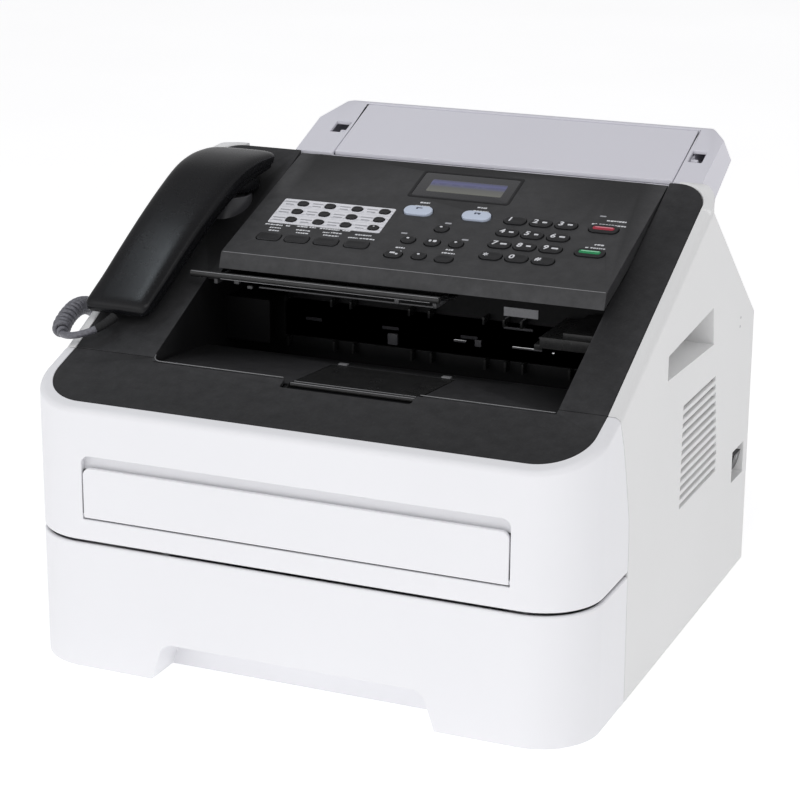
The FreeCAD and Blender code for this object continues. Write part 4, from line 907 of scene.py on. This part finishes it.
# ------------------------------------------------------------------ small things in the paper outlet
v, f = join([brick(-121.5, -88.0, -23, -19.5, 178, 207, 0.8), brick(-121.5, -92, -19.5, 10, 203.5, 206.5, 0.5)])
add("outlet_guide_left", v, f, "dull_plastic", "base", sharp=40)
v, f = join([brick(101, 145.6, -30, 20, 198.5, 205.7, 0.5), brick(116, 145.6, -29.5, 20, 205.7, 209.8, 0.5), brick(96, 101.5, -26, 20, 196, 199.5, 0.5)])
add("outlet_ledges_right", v, f, "recess_plastic", "base", sharp=40)
ribs = []
for x in (-96, -62, -48, -6, 8, 46, 60, 72, 104, 118):
    ribs.append(brick(x, x + 1.6, 14, 25.2, 196.5, 201.5, 0.3))
    ribs.append(brick(x, x + 1.6, 18, 25.2, 165, 171.6, 0.3))
v, f = join(ribs)
add("outlet_ribs", v, f, "recess_plastic", "base", sharp=40)
pins = [turned([(0.05, 0), (0.75, 0), (0.75, 20), (0.05, 20)], (64, 24.0, 181.4), 14, "x"), turned([(0.05, 0), (0.6, 0), (0.6, 8.5), (0.05, 8.5)], (23, 24.2, 181.4), 14, "x"),
        turned([(0.05, 0), (1.2, 0), (1.2, 1.6), (0.05, 1.6)], (91.4, 23.6, 180.2), 14, "x"), turned([(0.05, 0), (1.0, 0), (1.0, 3.2), (0.05, 3.2)], (38.6, 24.0, 182.4), 14, "x")]
v, f = join(pins)
add("outlet_pins", v, f, "pin_steel", "base", sharp=40)

# blank paper sticker, and lighter grey blocks on the outlet's rear wall set where the exit rollers and bars catch
# light: painted highlights
v, f = brick(57.0, 80.5, 24.4, 24.98, 201.3, 207.2, 0.1)
add("outlet_sticker", v, f, "ink_white", "base", sharp=30)
v, f = join([brick(57.5, 77.5, 23.4, 25.0, 192.8, 194.4, 0.35), brick(63.5, 84.5, 23.0, 25.0, 180.4, 181.2, 0.25), brick(82, 116, 22.0, 25.2, 189.4, 190.2, 0.25),
             brick(37.8, 42.2, 22.8, 25.2, 178.6, 183.2, 0.4), brick(22.8, 31.2, 23.4, 25.2, 180.2, 181.4, 0.3), brick(-24, -17, 22.8, 25.2, 173.0, 180.6, 0.4)])
add("outlet_highlight_blocks", v, f, "grey_plastic", "base", sharp=40)


def bead(points, r, k=8):
    """A thin round bead along a broken line."""
    line = np.array(points, dtype=float)
    fine, s_f = even(line, 1.5)
    return tube(fine, np.full(len(fine), r), k)


# pale grey bead round the front of the paper outlet: a painted highlight line where the lip catches light
r_c = 6.0
arc = [(-120.0 + 0.35 + r_c - r_c * math.cos(q), -125.0 + 0.2 + r_c - r_c * math.sin(q)) for q in np.linspace(0, math.pi / 2, 9)]
strip_z = lambda y: 190.5 + (y + 121) * 0.343
left_lip = [(x, y, strip_z(y) + 0.05) for x, y in arc] + [(-60, -124.8, strip_z(-124.8) + 0.05), (-29.0, -124.8, strip_z(-124.8) + 0.05)]
right_lip = [(61.0, -124.8, strip_z(-124.8) + 0.05), (110, -124.8, strip_z(-124.8) + 0.05), (145.4, -124.8, strip_z(-124.8) + 0.05)]
v, f = join([bead(left_lip, 0.32), bead(right_lip, 0.3)])
add("outlet_front_lip", v, f, "catchlight_grey", "front_cover")
v, f = join([stack([[(x, y, strip_z(y) - 0.05 - d) for x, y in arc + [(-120.3, -125.1)]] for d in (0.0, 2.4)])])
add("outlet_corner", v, f, "black_plastic", "front_cover", sharp=40)
# pale beads along the output flap's edges: painted highlight lines
v, f = join([bead([(-24.2, -124.6, 186.5), (57.2, -124.6, 186.5)], 0.34), bead([(-23.8, -120.6, 186.5), (57.0, -120.6, 186.5)], 0.26)])
add("flap_lip", v, f, "catchlight_grey", "output_flap")
# small pale grey blocks at the flap's hinges: painted highlights
v, f = join([brick(-21.5, -15.5, -61.6, -57.8, 180.4, 182.1, 0.4), brick(48.5, 54.5, -61.6, -57.8, 180.4, 182.1, 0.4)])
add("flap_hinge_marks", v, f, "catchlight_grey", "base", sharp=40)

# white rim carried round the deck's upper corners to the feeder
for side in (1, -1):
    ring_in, ring_out = [], []
    for q in np.linspace(-0.12, math.pi / 2 + 0.05, 16):
        for r_, dst in ((20.1, ring_in), (27.2 if side > 0 else 25.6, ring_out)):
            dst.append((side * (156.2 + r_ * math.cos(q)), 58.0 + r_ * math.sin(q)))
    outline = ring_out + ring_in[::-1]
    prof = [(0.0, 0.55), (0.0, 0.0)]
    rz = lambda y: min(deck_z(y), 278.0 - (y - 60) * 0.7906)
    top_ring = [(x, y, deck_z(min(y, 78.0)) + 0.15) for x, y in outline]
    cen = [((a[0] + b[0]) / 2, (a[1] + b[1]) / 2) for a, b in zip(outline, ring_in[::1] + ring_out[::-1])]
    cap_ring = [(x + (cx - x) * 0.16, y + (cy - y) * 0.16, deck_z(y) + 0.85) for (x, y), (cx, cy) in zip(outline, cen)]
    cap_ring = [(x, y, min(z, deck_z(78.0) + 0.55)) for x, y, z in cap_ring]
    foot_ring = [(x, y, rz(y) - 2.0) for x, y in outline]
    n_o = len(outline)
    half_n = n_o // 2
    vv = foot_ring + top_ring + cap_ring
    ff = []
    for j in range(2):
        for i in range(n_o):
            a, b = j * n_o + i, j * n_o + (i + 1) % n_o
            ff.append((a, b, b + n_o, a + n_o))
    for i in range(half_n - 1):
        for base_i in (0, 2 * n_o):
            ff.append((base_i + i, base_i + i + 1, base_i + n_o - 2 - i, base_i + n_o - 1 - i))
    add("corner_rim_" + ("right" if side > 0 else "left"), vv, ff, "side_white_plastic", "base", sharp=45)

# pockets beside the feeder's lid and the rocker's printed mark
pk = []
for x0, x1 in ((152.6, 161.9), (-102.9, -92.6)):
    pk.append(brick(x0, x1, 104.1, 116.9, 290.6, 292.2, 0.2))
    pk.append(turned([(0.05, 0), (1.9, 0), (2.1, 0.3), (2.1, 4.4), (1.9, 4.7), (0.05, 4.7)], (x0 + (0.4 if x0 > 0 else 5.2), 110.8, 294.2), 24, "x"))
v, f = join(pk)
add("feeder_pockets", v, f, "feeder_plastic", "base", sharp=40)
tl = math.atan2(183.8 - 182.4, 87.4 - 80.5)
nr_ = (math.cos(tl), -math.sin(tl))
def rocker(y, s_, out):
    return (182.4 + math.sin(tl) * s_ + nr_[0] * out, y, 80.5 + math.cos(tl) * s_ + nr_[1] * out)
v, f = stack([[rocker(150.5 + a, 3.6 + b, d) for a, b in rr(1.0, 3.6, 0.4, 3)] for d in (-0.1, 0.06)])
add("rocker_mark", v, f, "ink_white", "power_rocker", smooth=False)

# collar of the cradle under the ear cup, in a lighter grey that paints the highlight of its glossy black surface
v, f = turned([(13.6, 0.0), (16.15, 0.0), (16.15, 14.6), (15.7, 15.15), (14.2, 15.2), (13.6, 14.6)], (-139.5, 20.0, 250.0), 64)
add("cradle_collar", v, f, "collar_highlight_grey", "base", sharp=40)

# baffles behind the louvres, and grey discs for the two small dimples behind the carrying recess: the grey is painted
# shade of the hollows
v, f = join([brick(178.4, 181.0, 6.5, 96, 89.5, 162, 0.3)])
add("louvre_baffle_right", v, f, "side_white_plastic", "base", sharp=40)
v, f = join([brick(-181.0, -178.4, 6.5, 84, 89.5, 147, 0.3)])
add("louvre_baffle_left", v, f, "side_white_plastic", "base", sharp=40)
v, f = join([turned([(0.05, 0), (1.0, 0), (0.9, 0.12), (0.45, 0.14), (0.05, 0.08)], (183.92, y_, z_), 20, "x") for y_, z_ in ((140.0, 186.0), (139.0, 180.0))])
add("side_dimple_shade", v, f, "ink_grey", "base", sharp=40)

# pale grey bead along the control panel's front edge: a painted highlight line where the edge catches light
v, f = join([bead([on_panel(-111.2, 0.25, -0.12), on_panel(20, 0.25, -0.12), on_panel(147.3, 0.25, -0.12)], 0.26)])
add("panel_front_edge", v, f, "catchlight_grey", "panel")

# pale beads and grey blocks on the original-output bar: painted highlight lines and catch-light spots, with small
# mouldings in the same grey
v, f = join([bead([(-125.6, -60.3, 231.5), (-60, -60.3, 231.5), (45.4, -60.3, 231.5)], 0.30), bead([(-104, -61.0, 228.4), (-30, -61.0, 228.3), (40, -61.0, 228.2)], 0.22)])
add("output_bar_edge", v, f, "catchlight_grey", "panel")
v, f = join([brick(-78, 43.5, -58.6, -56.4, 224.4, 225.4, 0.35), brick(-95.2, -91.6, -59.6, -56.6, 225.6, 228.0, 0.5), brick(-86.2, -82.6, -58.8, -56.4, 223.2, 225.2, 0.5),
             brick(-110.0, -107.4, -58.6, -38, 224.2, 228.6, 0.5), brick(41.0, 43.6, -58.6, -38, 224.2, 228.6, 0.5), brick(16.0, 19.0, -60.0, -56.6, 224.8, 228.2, 0.5)])
add("output_bar_mouldings", v, f, "bar_moulding_and_highlight_grey", "panel", sharp=40)
